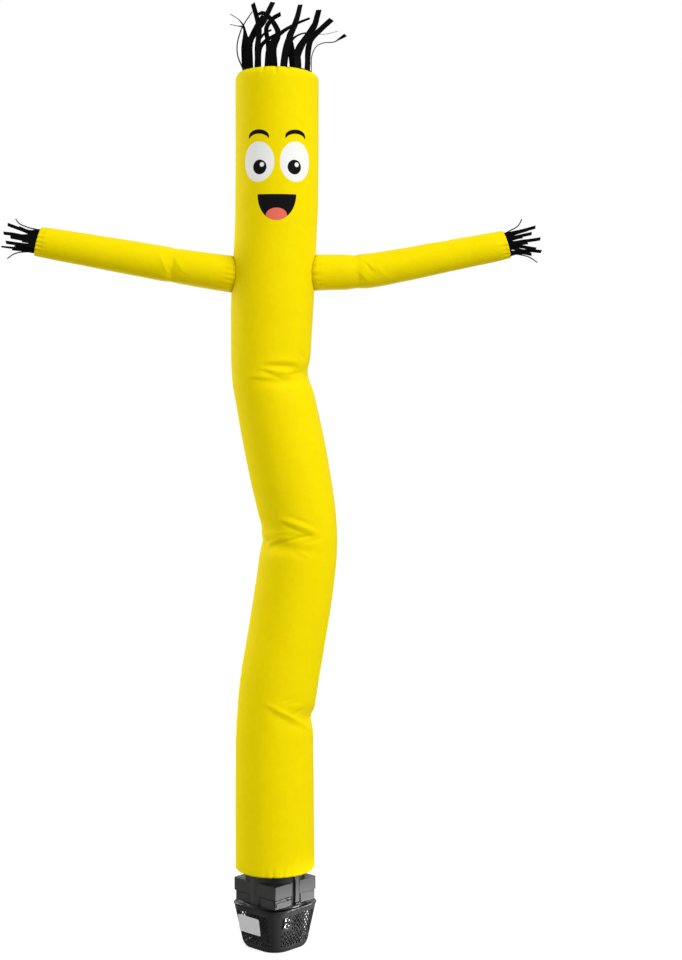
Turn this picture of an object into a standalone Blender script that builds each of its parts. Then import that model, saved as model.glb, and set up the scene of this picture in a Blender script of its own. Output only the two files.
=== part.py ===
"""Inflatable air dancer standing on its blower base.

A hollow cloth tube with two hollow sleeves and three cut fringes hangs round the flange
of a small plastic blower: a tapered housing, a lid, a round duct, four corner boxes, a
motor with its fan, and two rocker switches. Metres, +Z up, the front faces -Y. The origin
is the centre of the blower's flat underside.
"""

import math
from collections import namedtuple

import bmesh
import bpy
from mathutils import Matrix, Vector

GAP = 0.0003  # between two pieces that touch

# Blower, turned so that one corner of its rounded square faces the front.
SQUARE_TURN = math.radians(45)
OUTLINE_STEPS = 48
BASE_HEIGHT = 0.004
HOUSING_TOP = 0.082
WALL = 0.0025
LID_BOTTOM = 0.0827
LID_THICKNESS = 0.0022
COLLAR_RADIUS = 0.0615
COLLAR_TOP = 0.0888
DUCT_RADIUS = 0.0570
DUCT_BORE_RADIUS = 0.0555
DUCT_BOTTOM = 0.076
FLANGE_RADIUS = 0.073
FLANGE_BOTTOM = 0.151
FLANGE_TOP = 0.1535

# Rounded-square sections of the base and the housing, from the floor up.
SquareRow = namedtuple("SquareRow", "height half corner")
BASE_ROWS = (
    SquareRow(0.0, 0.0470, 0.0230),
    SquareRow(0.0012, 0.0488, 0.0245),
    SquareRow(BASE_HEIGHT, 0.0505, 0.0260),
)
HOUSING_ROWS = (
    SquareRow(BASE_HEIGHT + GAP, 0.0512, 0.0265),
    SquareRow(0.010, 0.0536, 0.0280),
    SquareRow(HOUSING_TOP, 0.0650, 0.0340),
)

# Corner boxes: a wide upper part over a narrower lower part.
BOX_HALF = 0.0563
BOX_START = 0.016
BOX_BOTTOM = COLLAR_TOP + 0.0005
BOX_STEP = 0.108
BOX_TOP = 0.133
BOX_DUCT_RADIUS = DUCT_RADIUS + 0.0005
BOX_ARC_STEPS = 7
BoxRow = namedtuple("BoxRow", "name turn lower_inset end_inset")
BOX_ROWS = (
    BoxRow("corner_box_front", -90, 0.0006, 0.006),
    BoxRow("corner_box_right", 0, 0.0015, 0.004),
    BoxRow("corner_box_back", 90, 0.0015, 0.004),
    BoxRow("corner_box_left", 180, 0.0022, 0.004),
)

# Latch strap on the middle of the right-front side.
STRAP_WIDTH = 0.011
STRAP_TAB_WIDTH = 0.016
STRAP_TAB_HEIGHT = 0.008
STRAP_BOTTOM = 0.0950
STRAP_TOP = FLANGE_BOTTOM - GAP
STRAP_INNER = 0.0579
STRAP_OUTER = 0.0603
ROLLER_RADIUS = 0.0027
ROLLER_LENGTH = 0.013
ROLLER_HEIGHT = 0.0920
ROLLER_OUT = 0.0603

# Motor and fan in the duct.
MOTOR_RADIUS = 0.020
MOTOR_BOTTOM = 0.092
MOTOR_TOP = 0.114
SPOKE_COUNT = 3
SPOKE_REACH = 0.0550
SPOKE_WIDTH = 0.005
SPOKE_BOTTOM = 0.098
SPOKE_TOP = 0.106
HUB_RADIUS = 0.0165
HUB_BOTTOM = 0.1148
HUB_TOP = 0.146
BLADE_COUNT = 7
BLADE_REACH = 0.0540
BLADE_WIDTH = 0.004
BLADE_BOTTOM = 0.119
BLADE_TOP = 0.137
BLADE_TWIST = math.radians(24)
CAP_RADIUS = 0.0104
CAP_TOP = 0.1485

# Label place and switches on the sloping housing walls.
LABEL_WIDTH = 0.057
LABEL_HEIGHT = 0.034
LABEL_THICKNESS = 0.0006
LABEL_CORNER = 0.003
LABEL_ACROSS = -0.010
LABEL_CENTRE = 0.0485
SWITCH_WIDTH = 0.018
SWITCH_HEIGHT = 0.0106
SWITCH_PITCH = 0.0114
SWITCH_ACROSS = -0.030
SWITCH_CENTRE = 0.0610
SWITCH_PROUD = 0.0012
SWITCH_DEPTH = 0.0100
POCKET_WIDTH = 0.0136
POCKET_HEIGHT = 0.0074
POCKET_DEPTH = 0.0086
ROCKER_RADIUS = 0.0062
ROCKER_THICKNESS = 0.0064
ROCKER_PIVOT = -0.0004
ROCKER_REST_TILT = math.radians(9)
ROCKER_VEE = math.radians(14)
ROCKER_ARC_STEPS = 12
INLET_ACROSS = 0.026
INLET_CENTRE = 0.0175
INLET_WIDTH = 0.011
INLET_HEIGHT = 0.011
INLET_HOLE_RADIUS = 0.0028

# Cloth tube: centre line and width by height. The hem turns in under the flange, and the
# open top is drawn in to a smaller vent.
CLOTH = 0.0012
TUBE_SEGMENTS = 28
RING_SPACING = 0.048
LEAST_RING_SPACING = 0.006
HEM_EDGE = 0.1445
HEM_FULL = 0.1500
HEM_RADIUS = 0.0660
SHOULDER_FULL = 1.6530
VENT_EDGE = 1.6730
VENT_RADIUS = 0.0675
HEM_STEPS = 4
TubeRow = namedtuple("TubeRow", "height centre diameter")
TUBE_ROWS = (
    TubeRow(0.140, 0.0000, 0.1528),
    TubeRow(0.326, 0.0000, 0.1518),
    TubeRow(0.408, -0.0004, 0.1506),
    TubeRow(0.457, 0.0024, 0.1506),
    TubeRow(0.533, 0.0118, 0.1530),
    TubeRow(0.595, 0.0227, 0.1525),
    TubeRow(0.676, 0.0354, 0.1512),
    TubeRow(0.766, 0.0460, 0.1490),
    TubeRow(0.835, 0.0437, 0.1492),
    TubeRow(0.901, 0.0325, 0.1545),
    TubeRow(0.987, 0.0166, 0.1560),
    TubeRow(1.046, 0.0050, 0.1530),
    TubeRow(1.086, -0.0022, 0.1518),
    TubeRow(1.131, -0.0052, 0.1512),
    TubeRow(1.169, -0.0046, 0.1530),
    TubeRow(1.245, -0.0021, 0.1572),
    TubeRow(1.376, 0.0045, 0.1552),
    TubeRow(1.433, 0.0065, 0.1568),
    TubeRow(1.680, 0.0075, 0.1562),
)

# Folds where the tube bends: azimuth 0 is +X and -90 is the front; rise is the climb of
# the fold line in metres per radian.
FoldRow = namedtuple("FoldRow", "height azimuth half_angle depth half_height rise")
FOLD_ROWS = (
    FoldRow(1.112, -20, 80, 0.0070, 0.0110, 0.010),
    FoldRow(1.090, -75, 55, 0.0045, 0.0090, 0.004),
    FoldRow(0.803, -150, 75, 0.0065, 0.0110, -0.008),
    FoldRow(0.775, -120, 85, 0.0050, 0.0110, 0.012),
    FoldRow(0.456, -25, 70, 0.0070, 0.0110, -0.012),
)

# Sleeves: centre line from the tube to the hand, as distance out from the Z axis.
SLEEVE_SEGMENTS = 16
SEAM_GAP = 0.0007
ARM_HOLE_RADIUS = 0.0290
ARM_HOLE_START = 0.040
ARM_HOLE_REACH = 0.110
ArmRow = namedtuple("ArmRow", "out height diameter")
LEFT_ARM_ROWS = (
    ArmRow(0.0780, 1.2930, 0.0690),
    ArmRow(0.1100, 1.2977, 0.0680),
    ArmRow(0.1500, 1.3037, 0.0665),
    ArmRow(0.1780, 1.3080, 0.0650),
    ArmRow(0.1900, 1.3100, 0.0630),
    ArmRow(0.2020, 1.3120, 0.0650),
    ArmRow(0.2600, 1.3222, 0.0640),
    ArmRow(0.3200, 1.3327, 0.0618),
    ArmRow(0.3800, 1.3430, 0.0594),
    ArmRow(0.4300, 1.3518, 0.0570),
    ArmRow(0.4430, 1.3540, 0.0545),
)
RIGHT_ARM_ROWS = (
    ArmRow(0.0780, 1.2966, 0.0677),
    ArmRow(0.1100, 1.2970, 0.0665),
    ArmRow(0.1400, 1.2976, 0.0655),
    ArmRow(0.1560, 1.2982, 0.0625),
    ArmRow(0.1700, 1.2993, 0.0655),
    ArmRow(0.2000, 1.3030, 0.0645),
    ArmRow(0.2500, 1.3122, 0.0625),
    ArmRow(0.3100, 1.3240, 0.0598),
    ArmRow(0.3700, 1.3358, 0.0572),
    ArmRow(0.4300, 1.3476, 0.0550),
    ArmRow(0.4430, 1.3502, 0.0525),
)

# Fringes: a band inside the hem with a strip on every other segment. Rise goes out of the
# opening; lean_x and lean_y are how far the tip falls to the side.
STRIP_SECTIONS = 5
HEAD_BAND_RADIUS = 0.0652
HEAD_BAND_BOTTOM = 1.6620
HEAD_BAND_HEIGHT = 0.0100
HAND_BAND_RADIUS = 0.0236
HAND_BAND_HEIGHT = 0.0080
HAND_BAND_DEPTH = 0.0085
StripRow = namedtuple("StripRow", "rise lean_x lean_y")
HEAD_STRIPS = (
    StripRow(0.070, 0.058, 0.004),
    StripRow(0.074, 0.050, 0.012),
    StripRow(0.096, 0.040, 0.020),
    StripRow(0.108, 0.030, 0.022),
    StripRow(0.112, 0.022, 0.020),
    StripRow(0.120, 0.012, 0.018),
    StripRow(0.096, 0.006, 0.020),
    StripRow(0.110, -0.006, 0.022),
    StripRow(0.102, -0.010, 0.020),
    StripRow(0.090, -0.016, 0.016),
    StripRow(0.106, -0.020, 0.010),
    StripRow(0.098, -0.022, 0.000),
    StripRow(0.104, -0.022, -0.010),
    StripRow(0.112, -0.012, -0.016),
    StripRow(0.128, -0.002, -0.018),
    StripRow(0.118, 0.006, -0.020),
    StripRow(0.126, 0.012, -0.018),
    StripRow(0.096, 0.018, -0.020),
    StripRow(0.124, 0.026, -0.020),
    StripRow(0.114, 0.034, -0.020),
    StripRow(0.100, 0.044, -0.012),
    StripRow(0.072, 0.054, -0.004),
)
HAND_STRIPS = (
    StripRow(0.060, 0.012, 0.000),
    StripRow(0.066, 0.010, 0.008),
    StripRow(0.070, 0.004, 0.012),
    StripRow(0.064, -0.004, 0.010),
    StripRow(0.058, -0.012, 0.000),
    StripRow(0.066, -0.008, -0.010),
    StripRow(0.072, 0.001, -0.013),
    StripRow(0.068, 0.008, -0.009),
)

for old in list(bpy.data.objects):
    bpy.data.objects.remove(old, do_unlink=True)

parts = bpy.data.collections.new("air_dancer")
cutters = bpy.data.collections.new("cutters")
bpy.context.scene.collection.children.link(parts)
bpy.context.scene.collection.children.link(cutters)
cutters.hide_render = True


def material(name, colour, roughness, metallic=0.0):
    made = bpy.data.materials.new(name)
    made.use_nodes = True
    shader = made.node_tree.nodes["Principled BSDF"]
    shader.inputs["Base Color"].default_value = (*colour, 1.0)
    shader.inputs["Roughness"].default_value = roughness
    shader.inputs["Metallic"].default_value = metallic
    return made


NYLON = material("yellow_nylon", (0.95, 0.78, 0.01), 0.45)
FRINGE = material("black_fringe_cloth", (0.012, 0.012, 0.013), 0.6)
SHELL = material("black_plastic", (0.022, 0.022, 0.024), 0.45)
MODULE = material("grey_plastic", (0.055, 0.055, 0.058), 0.4)
FLANGE = material("flange_plastic", (0.08, 0.08, 0.085), 0.35)
LABEL = material("blank_label", (0.62, 0.62, 0.63), 0.4)
ROCKER = material("rocker_plastic", (0.03, 0.03, 0.03), 0.3)
CAP = material("white_cap", (0.85, 0.85, 0.85), 0.35)
MOTOR = material("motor_steel", (0.35, 0.35, 0.36), 0.4, 1.0)


def add_object(name, mesh, finish, matrix=None, collection=parts):
    made = bpy.data.objects.new(name, mesh)
    if finish:
        mesh.materials.append(finish)
    if matrix:
        made.matrix_world = matrix
    collection.objects.link(made)
    return made


def mesh_from(name, build, smooth=False):
    """A mesh whose faces the given function adds to an empty bmesh."""
    shape = bmesh.new()
    build(shape)
    bmesh.ops.recalc_face_normals(shape, faces=shape.faces)
    mesh = bpy.data.meshes.new(name)
    shape.to_mesh(mesh)
    shape.free()
    if smooth:
        mesh.shade_smooth()
        mesh.set_sharp_from_angle(angle=math.radians(35))
    return mesh


def add_cutter(name, mesh, matrix=None):
    cutter = add_object(name, mesh, None, matrix, cutters)
    cutter.hide_render = True
    cutter.display_type = "WIRE"
    return cutter


def cut(target, cutter):
    modifier = target.modifiers.new("cut_" + cutter.name, "BOOLEAN")
    modifier.operation = "DIFFERENCE"
    modifier.solver = "EXACT"
    modifier.object = cutter


def thicken(target, thickness):
    """Gives an open surface its thickness, all of it on the inner side."""
    modifier = target.modifiers.new("thickness", "SOLIDIFY")
    modifier.thickness = thickness
    modifier.offset = -1.0
    modifier.use_even_offset = True


def loft(shape, rings, ring_closes=False, caps=(True, True)):
    """Joins rings of equally many points; ring_closes also joins the last to the first."""
    vertices = [[shape.verts.new(point) for point in ring] for ring in rings]
    pairs = list(zip(vertices, vertices[1:]))
    if ring_closes:
        pairs.append((vertices[-1], vertices[0]))
    count = len(vertices[0])
    for lower, upper in pairs:
        for index in range(count):
            following = (index + 1) % count
            shape.faces.new((lower[index], lower[following], upper[following], upper[index]))
    if ring_closes:
        return
    if caps[0]:
        shape.faces.new(reversed(vertices[0]))
    if caps[1]:
        shape.faces.new(vertices[-1])


def prism(shape, outline, low, high):
    """The outline, as (x, y) points, between two heights."""
    loft(shape, [[(x, y, low) for x, y in outline], [(x, y, high) for x, y in outline]])


def circle(radius, steps, start=0.0):
    turns = [start + 2 * math.pi * index / steps for index in range(steps)]
    return [(radius * math.cos(turn), radius * math.sin(turn)) for turn in turns]


def square_reach(turn, half, corner):
    """Distance from the centre to a rounded square's edge, at an angle from its side."""
    across, along = sorted((abs(math.cos(turn)), abs(math.sin(turn))))
    straight = half / along
    if straight * across <= half - corner:
        return straight
    inner = half - corner
    middle = inner * (across + along)
    return middle + math.sqrt(middle**2 - 2 * inner**2 + corner**2)


def square_ring(height, half, corner):
    ring = []
    for index in range(OUTLINE_STEPS):
        turn = 2 * math.pi * index / OUTLINE_STEPS
        reach = square_reach(turn - SQUARE_TURN, half, corner)
        ring.append((reach * math.cos(turn), reach * math.sin(turn), height))
    return ring


def wall_half(height):
    """Half width of the housing at a height, on its long sloping part."""
    low, high = HOUSING_ROWS[-2:]
    share = (height - low.height) / (high.height - low.height)
    return low.half + share * (high.half - low.half)


def wall_matrix(side_turn, across, height, proud=0.0):
    """Frame on a housing wall: X to the right along it, Y up its slope, Z out of it."""
    low, high = HOUSING_ROWS[-2:]
    slope = math.atan2(high.half - low.half, high.height - low.height)
    level = Vector((math.cos(side_turn), math.sin(side_turn), 0))
    upright = Vector((0, 0, 1))
    right = upright.cross(level)
    normal = level * math.cos(slope) - upright * math.sin(slope)
    up = normal.cross(right)
    place = level * wall_half(height) + upright * height + right * across + normal * proud
    frame = Matrix((right, up, normal)).transposed().to_4x4()
    frame.translation = place
    return frame


LEFT_FRONT = math.radians(-135)
RIGHT_FRONT = math.radians(-45)


def make_base():
    rings = [square_ring(*row) for row in BASE_ROWS]
    mesh = mesh_from("base_plate", lambda shape: loft(shape, rings), smooth=True)
    add_object("base_plate", mesh, SHELL)


def box_mesh(name, width, height, low, high):
    outline = [
        (-width / 2, -height / 2),
        (width / 2, -height / 2),
        (width / 2, height / 2),
        (-width / 2, height / 2),
    ]
    return mesh_from(name, lambda shape: prism(shape, outline, low, high))


def switch_matrix(row):
    height = SWITCH_CENTRE + row * SWITCH_PITCH / 2
    return wall_matrix(RIGHT_FRONT, SWITCH_ACROSS, height)


def make_housing():
    rings = [square_ring(*row) for row in HOUSING_ROWS]
    build = lambda shape: loft(shape, rings, caps=(True, False))
    housing = add_object("housing_shell", mesh_from("housing_shell", build, True), SHELL)
    thicken(housing, WALL)
    cutter = box_mesh("switch_cutter", SWITCH_WIDTH + 2 * GAP, 2 * SWITCH_PITCH, -0.03, 0.02)
    cut(housing, add_cutter("switch_cutter", cutter, switch_matrix(0)))
    cutter = box_mesh("inlet_cutter", INLET_WIDTH + 2 * GAP, INLET_HEIGHT + 2 * GAP, -0.01, 0.01)
    place = wall_matrix(RIGHT_FRONT, INLET_ACROSS, INLET_CENTRE)
    cut(housing, add_cutter("inlet_cutter", cutter, place))


def make_lid():
    top = LID_BOTTOM + LID_THICKNESS
    half, corner = HOUSING_ROWS[-1].half, HOUSING_ROWS[-1].corner
    bore = DUCT_RADIUS + 0.001

    def ring(radius, height):
        return [(x, y, height) for x, y in circle(radius, OUTLINE_STEPS)]

    rings = [
        square_ring(LID_BOTTOM, half, corner),
        square_ring(top - 0.0008, half, corner),
        square_ring(top, half - 0.0008, corner - 0.0008),
        ring(COLLAR_RADIUS, top),
        ring(COLLAR_RADIUS - 0.0006, COLLAR_TOP),
        ring(bore, COLLAR_TOP),
        ring(bore, LID_BOTTOM),
    ]
    mesh = mesh_from("housing_lid", lambda shape: loft(shape, rings, ring_closes=True), True)
    add_object("housing_lid", mesh, MODULE)


def turned(name, profile, finish, steps=OUTLINE_STEPS):
    """Turns a closed profile of (radius, height) points round the Z axis."""
    mesh = bpy.data.meshes.new(name)
    edges = [(index, (index + 1) % len(profile)) for index in range(len(profile))]
    mesh.from_pydata([(radius, 0, height) for radius, height in profile], edges, [])
    made = add_object(name, mesh, finish)
    screw = made.modifiers.new("turn", "SCREW")
    screw.steps = steps
    screw.render_steps = steps
    screw.use_merge_vertices = True
    screw.merge_threshold = 0.00001
    return made


def make_duct():
    profile = [
        (FLANGE_RADIUS - 0.0007, FLANGE_TOP),
        (FLANGE_RADIUS, FLANGE_TOP - 0.0007),
        (FLANGE_RADIUS, FLANGE_BOTTOM + 0.0005),
        (FLANGE_RADIUS - 0.0005, FLANGE_BOTTOM),
        (DUCT_RADIUS, FLANGE_BOTTOM),
        (DUCT_RADIUS, DUCT_BOTTOM),
        (DUCT_BORE_RADIUS, DUCT_BOTTOM),
        (DUCT_BORE_RADIUS, FLANGE_TOP - 0.001),
        (DUCT_BORE_RADIUS + 0.001, FLANGE_TOP),
    ]
    turned("duct_flange", profile, FLANGE)


def box_outline(inset, start):
    """A corner of the square outside the duct, in the frame whose corner is at +X."""
    half = BOX_HALF - inset
    side = [(start, half), (half - 0.0015, half), (half, half - 0.0015), (half, start)]
    first = math.asin(start / BOX_DUCT_RADIUS)
    last = math.pi / 2 - first
    arc = []
    for index in range(BOX_ARC_STEPS + 1):
        turn = first + (last - first) * index / BOX_ARC_STEPS
        arc.append((BOX_DUCT_RADIUS * math.cos(turn), BOX_DUCT_RADIUS * math.sin(turn)))
    turn_back = Matrix.Rotation(-math.pi / 4, 2)
    return [tuple(turn_back @ Vector(point)) for point in side + arc]


def make_corner_boxes():
    for row in BOX_ROWS:
        upper = box_outline(0.0, BOX_START)
        lower = box_outline(row.lower_inset, BOX_START + row.end_inset)
        levels = [(lower, BOX_BOTTOM), (lower, BOX_STEP), (upper, BOX_STEP), (upper, BOX_TOP)]
        rings = [[(x, y, height) for x, y in outline] for outline, height in levels]
        mesh = mesh_from(row.name, lambda shape: loft(shape, rings))
        turn = Matrix.Rotation(math.radians(row.turn), 4, "Z")
        add_object(row.name, mesh, MODULE, turn)


def make_latch():
    """A strap that stands on edge-on outline points (across, height), and its roller."""
    half, tab = STRAP_WIDTH / 2, STRAP_TAB_WIDTH / 2
    shoulder = STRAP_TOP - STRAP_TAB_HEIGHT
    outline = [
        (-half, STRAP_BOTTOM),
        (half, STRAP_BOTTOM),
        (half, shoulder),
        (tab, shoulder),
        (tab, STRAP_TOP),
        (-tab, STRAP_TOP),
        (-tab, shoulder),
        (-half, shoulder),
    ]
    upright = Matrix.Rotation(RIGHT_FRONT, 4, "Z") @ Matrix(
        ((0, 0, 1, 0), (1, 0, 0, 0), (0, 1, 0, 0), (0, 0, 0, 1))
    )
    build = lambda shape: prism(shape, outline, STRAP_INNER, STRAP_OUTER)
    add_object("latch_strap", mesh_from("latch_strap", build), MODULE, upright)

    place = Matrix.Translation((ROLLER_OUT, 0, ROLLER_HEIGHT))
    lying = Matrix.Rotation(RIGHT_FRONT, 4, "Z") @ place @ Matrix.Rotation(math.pi / 2, 4, "X")
    outline = circle(ROLLER_RADIUS, 14)
    build = lambda shape: prism(shape, outline, -ROLLER_LENGTH / 2, ROLLER_LENGTH / 2)
    add_object("latch_roller", mesh_from("latch_roller", build, True), MODULE, lying)


def spoked(shape, radius, levels, sides, arms, reach, width, twist):
    """A disc that grows evenly spaced arms from its side, between its two middle levels."""
    outline = circle(radius, sides)
    rings = [[shape.verts.new((x, y, level)) for x, y in outline] for level in levels]
    arm_middle, arm_half = (levels[1] + levels[2]) / 2, (levels[2] - levels[1]) / 2
    every = sides // arms
    for lower, upper in zip(rings, rings[1:]):
        for index in range(sides):
            following = (index + 1) % sides
            corners = (lower[index], lower[following], upper[following], upper[index])
            if lower is not rings[1] or index % every:
                shape.faces.new(corners)
                continue
            turn = 2 * math.pi * (index + 0.5) / sides
            out = Vector((math.cos(turn), math.sin(turn), 0))
            lean = Matrix.Rotation(twist, 3, out)
            middle = Vector((0, 0, arm_middle)) + out * reach
            across = lean @ Vector((-out.y, out.x, 0)) * width / 2
            rise = lean @ Vector((0, 0, 1)) * arm_half
            tips = (-across - rise, across - rise, across + rise, -across + rise)
            ends = [shape.verts.new(middle + tip) for tip in tips]
            for near in range(4):
                far = (near + 1) % 4
                shape.faces.new((corners[near], corners[far], ends[far], ends[near]))
            shape.faces.new(ends)
    shape.faces.new(reversed(rings[0]))
    shape.faces.new(rings[-1])


def make_motor_and_fan():
    def motor(shape):
        levels = (MOTOR_BOTTOM, SPOKE_BOTTOM, SPOKE_TOP, MOTOR_TOP)
        spoked(shape, MOTOR_RADIUS, levels, 24, SPOKE_COUNT, SPOKE_REACH, SPOKE_WIDTH, 0.0)

    def rotor(shape):
        levels = (HUB_BOTTOM, BLADE_BOTTOM, BLADE_TOP, HUB_TOP)
        spoked(shape, HUB_RADIUS, levels, 28, BLADE_COUNT, BLADE_REACH, BLADE_WIDTH, BLADE_TWIST)

    add_object("motor_mount", mesh_from("motor_mount", motor), MOTOR)
    add_object("fan_rotor", mesh_from("fan_rotor", rotor), SHELL)
    low = HUB_TOP + GAP
    outline = circle(CAP_RADIUS, 28)
    rings = [
        [(x, y, low) for x, y in outline],
        [(x, y, CAP_TOP - 0.0006) for x, y in outline],
        [(0.92 * x, 0.92 * y, CAP_TOP) for x, y in outline],
    ]
    mesh = mesh_from("fan_cap", lambda shape: loft(shape, rings), smooth=True)
    add_object("fan_cap", mesh, CAP)


def rounded_rectangle(width, height, corner, steps=4):
    outline = []
    centres = ((1, 1), (-1, 1), (-1, -1), (1, -1))
    for quarter, (side_x, side_y) in enumerate(centres):
        for index in range(steps + 1):
            turn = (quarter + index / steps) * math.pi / 2
            x = side_x * (width / 2 - corner) + corner * math.cos(turn)
            y = side_y * (height / 2 - corner) + corner * math.sin(turn)
            outline.append((x, y))
    return outline


def make_label():
    outline = rounded_rectangle(LABEL_WIDTH, LABEL_HEIGHT, LABEL_CORNER)
    build = lambda shape: prism(shape, outline, 0, LABEL_THICKNESS)
    place = wall_matrix(LEFT_FRONT, LABEL_ACROSS, LABEL_CENTRE, GAP)
    add_object("label_plate", mesh_from("label_plate", build), LABEL, place)


def rocker_outline():
    """The rocker from above: two front flats in a shallow vee, and a round back."""
    right = ROCKER_VEE + ROCKER_REST_TILT
    left = math.pi - ROCKER_VEE + ROCKER_REST_TILT
    outline = []
    for index in range(ROCKER_ARC_STEPS + 1):
        turn = left + (2 * math.pi + right - left) * index / ROCKER_ARC_STEPS
        outline.append((ROCKER_RADIUS * math.cos(turn), ROCKER_RADIUS * math.sin(turn)))
    middle = math.pi / 2 + ROCKER_REST_TILT
    outline.append((0.0007 * math.cos(middle), 0.0007 * math.sin(middle)))
    return outline


def make_switches():
    for name, row in (("upper", 1), ("lower", -1)):
        place = switch_matrix(row)
        mesh = box_mesh("switch_case", SWITCH_WIDTH, SWITCH_HEIGHT, -SWITCH_DEPTH, SWITCH_PROUD)
        case = add_object("switch_case_" + name, mesh, SHELL, place)
        pocket = box_mesh("pocket", POCKET_WIDTH, POCKET_HEIGHT, -POCKET_DEPTH, 0.01)
        cut(case, add_cutter("pocket_" + name, pocket, place))
        outline = rocker_outline()
        half = ROCKER_THICKNESS / 2
        build = lambda shape: prism(shape, outline, -half, half)
        pivot = place @ Matrix.Translation((0, 0, ROCKER_PIVOT))
        upright = pivot @ Matrix(((1, 0, 0, 0), (0, 0, 1, 0), (0, 1, 0, 0), (0, 0, 0, 1)))
        mesh = mesh_from("rocker", build)
        mesh.transform(pivot.inverted() @ upright)
        mesh.flip_normals()
        add_object("rocker_" + name, mesh, ROCKER, pivot)


def make_inlet():
    place = wall_matrix(RIGHT_FRONT, INLET_ACROSS, INLET_CENTRE)
    half = INLET_WIDTH / 2
    arch = [(half * math.cos(turn), half * math.sin(turn)) for turn in
            (math.pi * index / 8 for index in range(9))]
    outline = [(half, -INLET_HEIGHT / 2)] + arch + [(-half, -INLET_HEIGHT / 2)]
    build = lambda shape: prism(shape, outline, -0.006, 0.0006)
    inlet = add_object("power_inlet", mesh_from("power_inlet", build), MODULE, place)
    hole = circle(INLET_HOLE_RADIUS, 16)
    build = lambda shape: prism(shape, hole, -0.0045, 0.01)
    cut(inlet, add_cutter("inlet_hole", mesh_from("inlet_hole", build), place))


def read_rows(rows, position, column):
    """Smooth value of a column, by cubic pieces whose slopes come from the neighbours."""
    position = min(max(position, rows[0][0]), rows[-1][0])
    after = next(i for i in range(1, len(rows)) if position <= rows[i][0])
    before = after - 1

    def slope(index):
        low, high = max(index - 1, 0), min(index + 1, len(rows) - 1)
        rise = getattr(rows[high], column) - getattr(rows[low], column)
        return rise / (rows[high][0] - rows[low][0])

    start, end = getattr(rows[before], column), getattr(rows[after], column)
    span = rows[after][0] - rows[before][0]
    t = (position - rows[before][0]) / span
    return (
        (2 * t**3 - 3 * t**2 + 1) * start
        + (t**3 - 2 * t**2 + t) * span * slope(before)
        + (3 * t**2 - 2 * t**3) * end
        + (t**3 - t**2) * span * slope(after)
    )


def fold_depth(height, azimuth):
    total = 0.0
    for fold in FOLD_ROWS:
        apart = math.remainder(azimuth - math.radians(fold.azimuth), 2 * math.pi)
        half = math.radians(fold.half_angle)
        if abs(apart) >= half:
            continue
        away = (height - fold.height - fold.rise * apart) / fold.half_height
        total += fold.depth * math.cos(math.pi / 2 * apart / half) ** 2 * math.exp(-(away**2))
    return total


def tube_radius(height):
    """Outer radius of the tube, drawn in at the hem below and at the vent above."""
    radius = read_rows(TUBE_ROWS, height, "diameter") / 2
    if height < HEM_FULL:
        share = (HEM_FULL - height) / (HEM_FULL - HEM_EDGE)
        return HEM_RADIUS + (radius - HEM_RADIUS) * math.sqrt(max(0.0, 1 - share**2))
    if height > SHOULDER_FULL:
        share = (height - SHOULDER_FULL) / (VENT_EDGE - SHOULDER_FULL)
        return VENT_RADIUS + (radius - VENT_RADIUS) * math.sqrt(max(0.0, 1 - share**2))
    return radius


def tube_heights():
    """Even rings along the tube, close ones at its folds, and steps round both ends."""
    count = round((SHOULDER_FULL - HEM_FULL) / RING_SPACING)
    heights = {HEM_FULL + (SHOULDER_FULL - HEM_FULL) * i / count for i in range(count + 1)}
    for fold in FOLD_ROWS:
        heights = {height for height in heights if abs(height - fold.height) > fold.half_height}
        heights |= {fold.height + step * fold.half_height for step in (-1, 0, 1)}
    spaced = []
    for height in sorted(heights):
        if not spaced or height - spaced[-1] > LEAST_RING_SPACING:
            spaced.append(height)
    quarter = [math.pi / 2 * i / HEM_STEPS for i in range(1, HEM_STEPS + 1)]
    below = [HEM_FULL - (HEM_FULL - HEM_EDGE) * math.sin(turn) for turn in quarter]
    above = [SHOULDER_FULL + (VENT_EDGE - SHOULDER_FULL) * math.sin(turn) for turn in quarter]
    return below[::-1] + spaced + above


def make_body_tube():
    rings = []
    for height in tube_heights():
        centre = read_rows(TUBE_ROWS, height, "centre")
        ring = []
        for index in range(TUBE_SEGMENTS):
            azimuth = 2 * math.pi * index / TUBE_SEGMENTS
            radius = tube_radius(height) - fold_depth(height, azimuth)
            ring.append((centre + radius * math.cos(azimuth), radius * math.sin(azimuth), height))
        rings.append(ring)
    build = lambda shape: loft(shape, rings, caps=(False, False))
    tube = add_object("body_tube", mesh_from("body_tube", build, True), NYLON)
    thicken(tube, CLOTH)
    outline = circle(ARM_HOLE_RADIUS, SLEEVE_SEGMENTS)
    for name, side, rows in (("left", -1, LEFT_ARM_ROWS), ("right", 1, RIGHT_ARM_ROWS)):
        build = lambda shape: prism(shape, outline, ARM_HOLE_START, ARM_HOLE_REACH)
        facing = Matrix.Rotation(side * math.pi / 2, 4, "Y")
        place = Matrix.Translation((0, 0, rows[0].height)) @ facing
        cut(tube, add_cutter("arm_hole_" + name, mesh_from("arm_hole", build), place))


def onto_tube(point, along, side):
    """Slides a point along the sleeve until it is just outside the tube's wall."""
    slid = point.copy()
    for _ in range(8):
        radius = tube_radius(slid.z) + SEAM_GAP
        centre = read_rows(TUBE_ROWS, slid.z, "centre")
        reach = centre + side * math.sqrt(radius**2 - point.y**2)
        slid = point + along * ((reach - point.x) / along.x)
    return slid


def arm_tangent(rows, out, side):
    step = 0.005
    out = min(max(out, rows[0].out + step), rows[-1].out - step)
    rise = read_rows(rows, out + step, "height") - read_rows(rows, out - step, "height")
    return Vector((side * 2 * step, 0, rise)).normalized()


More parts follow.
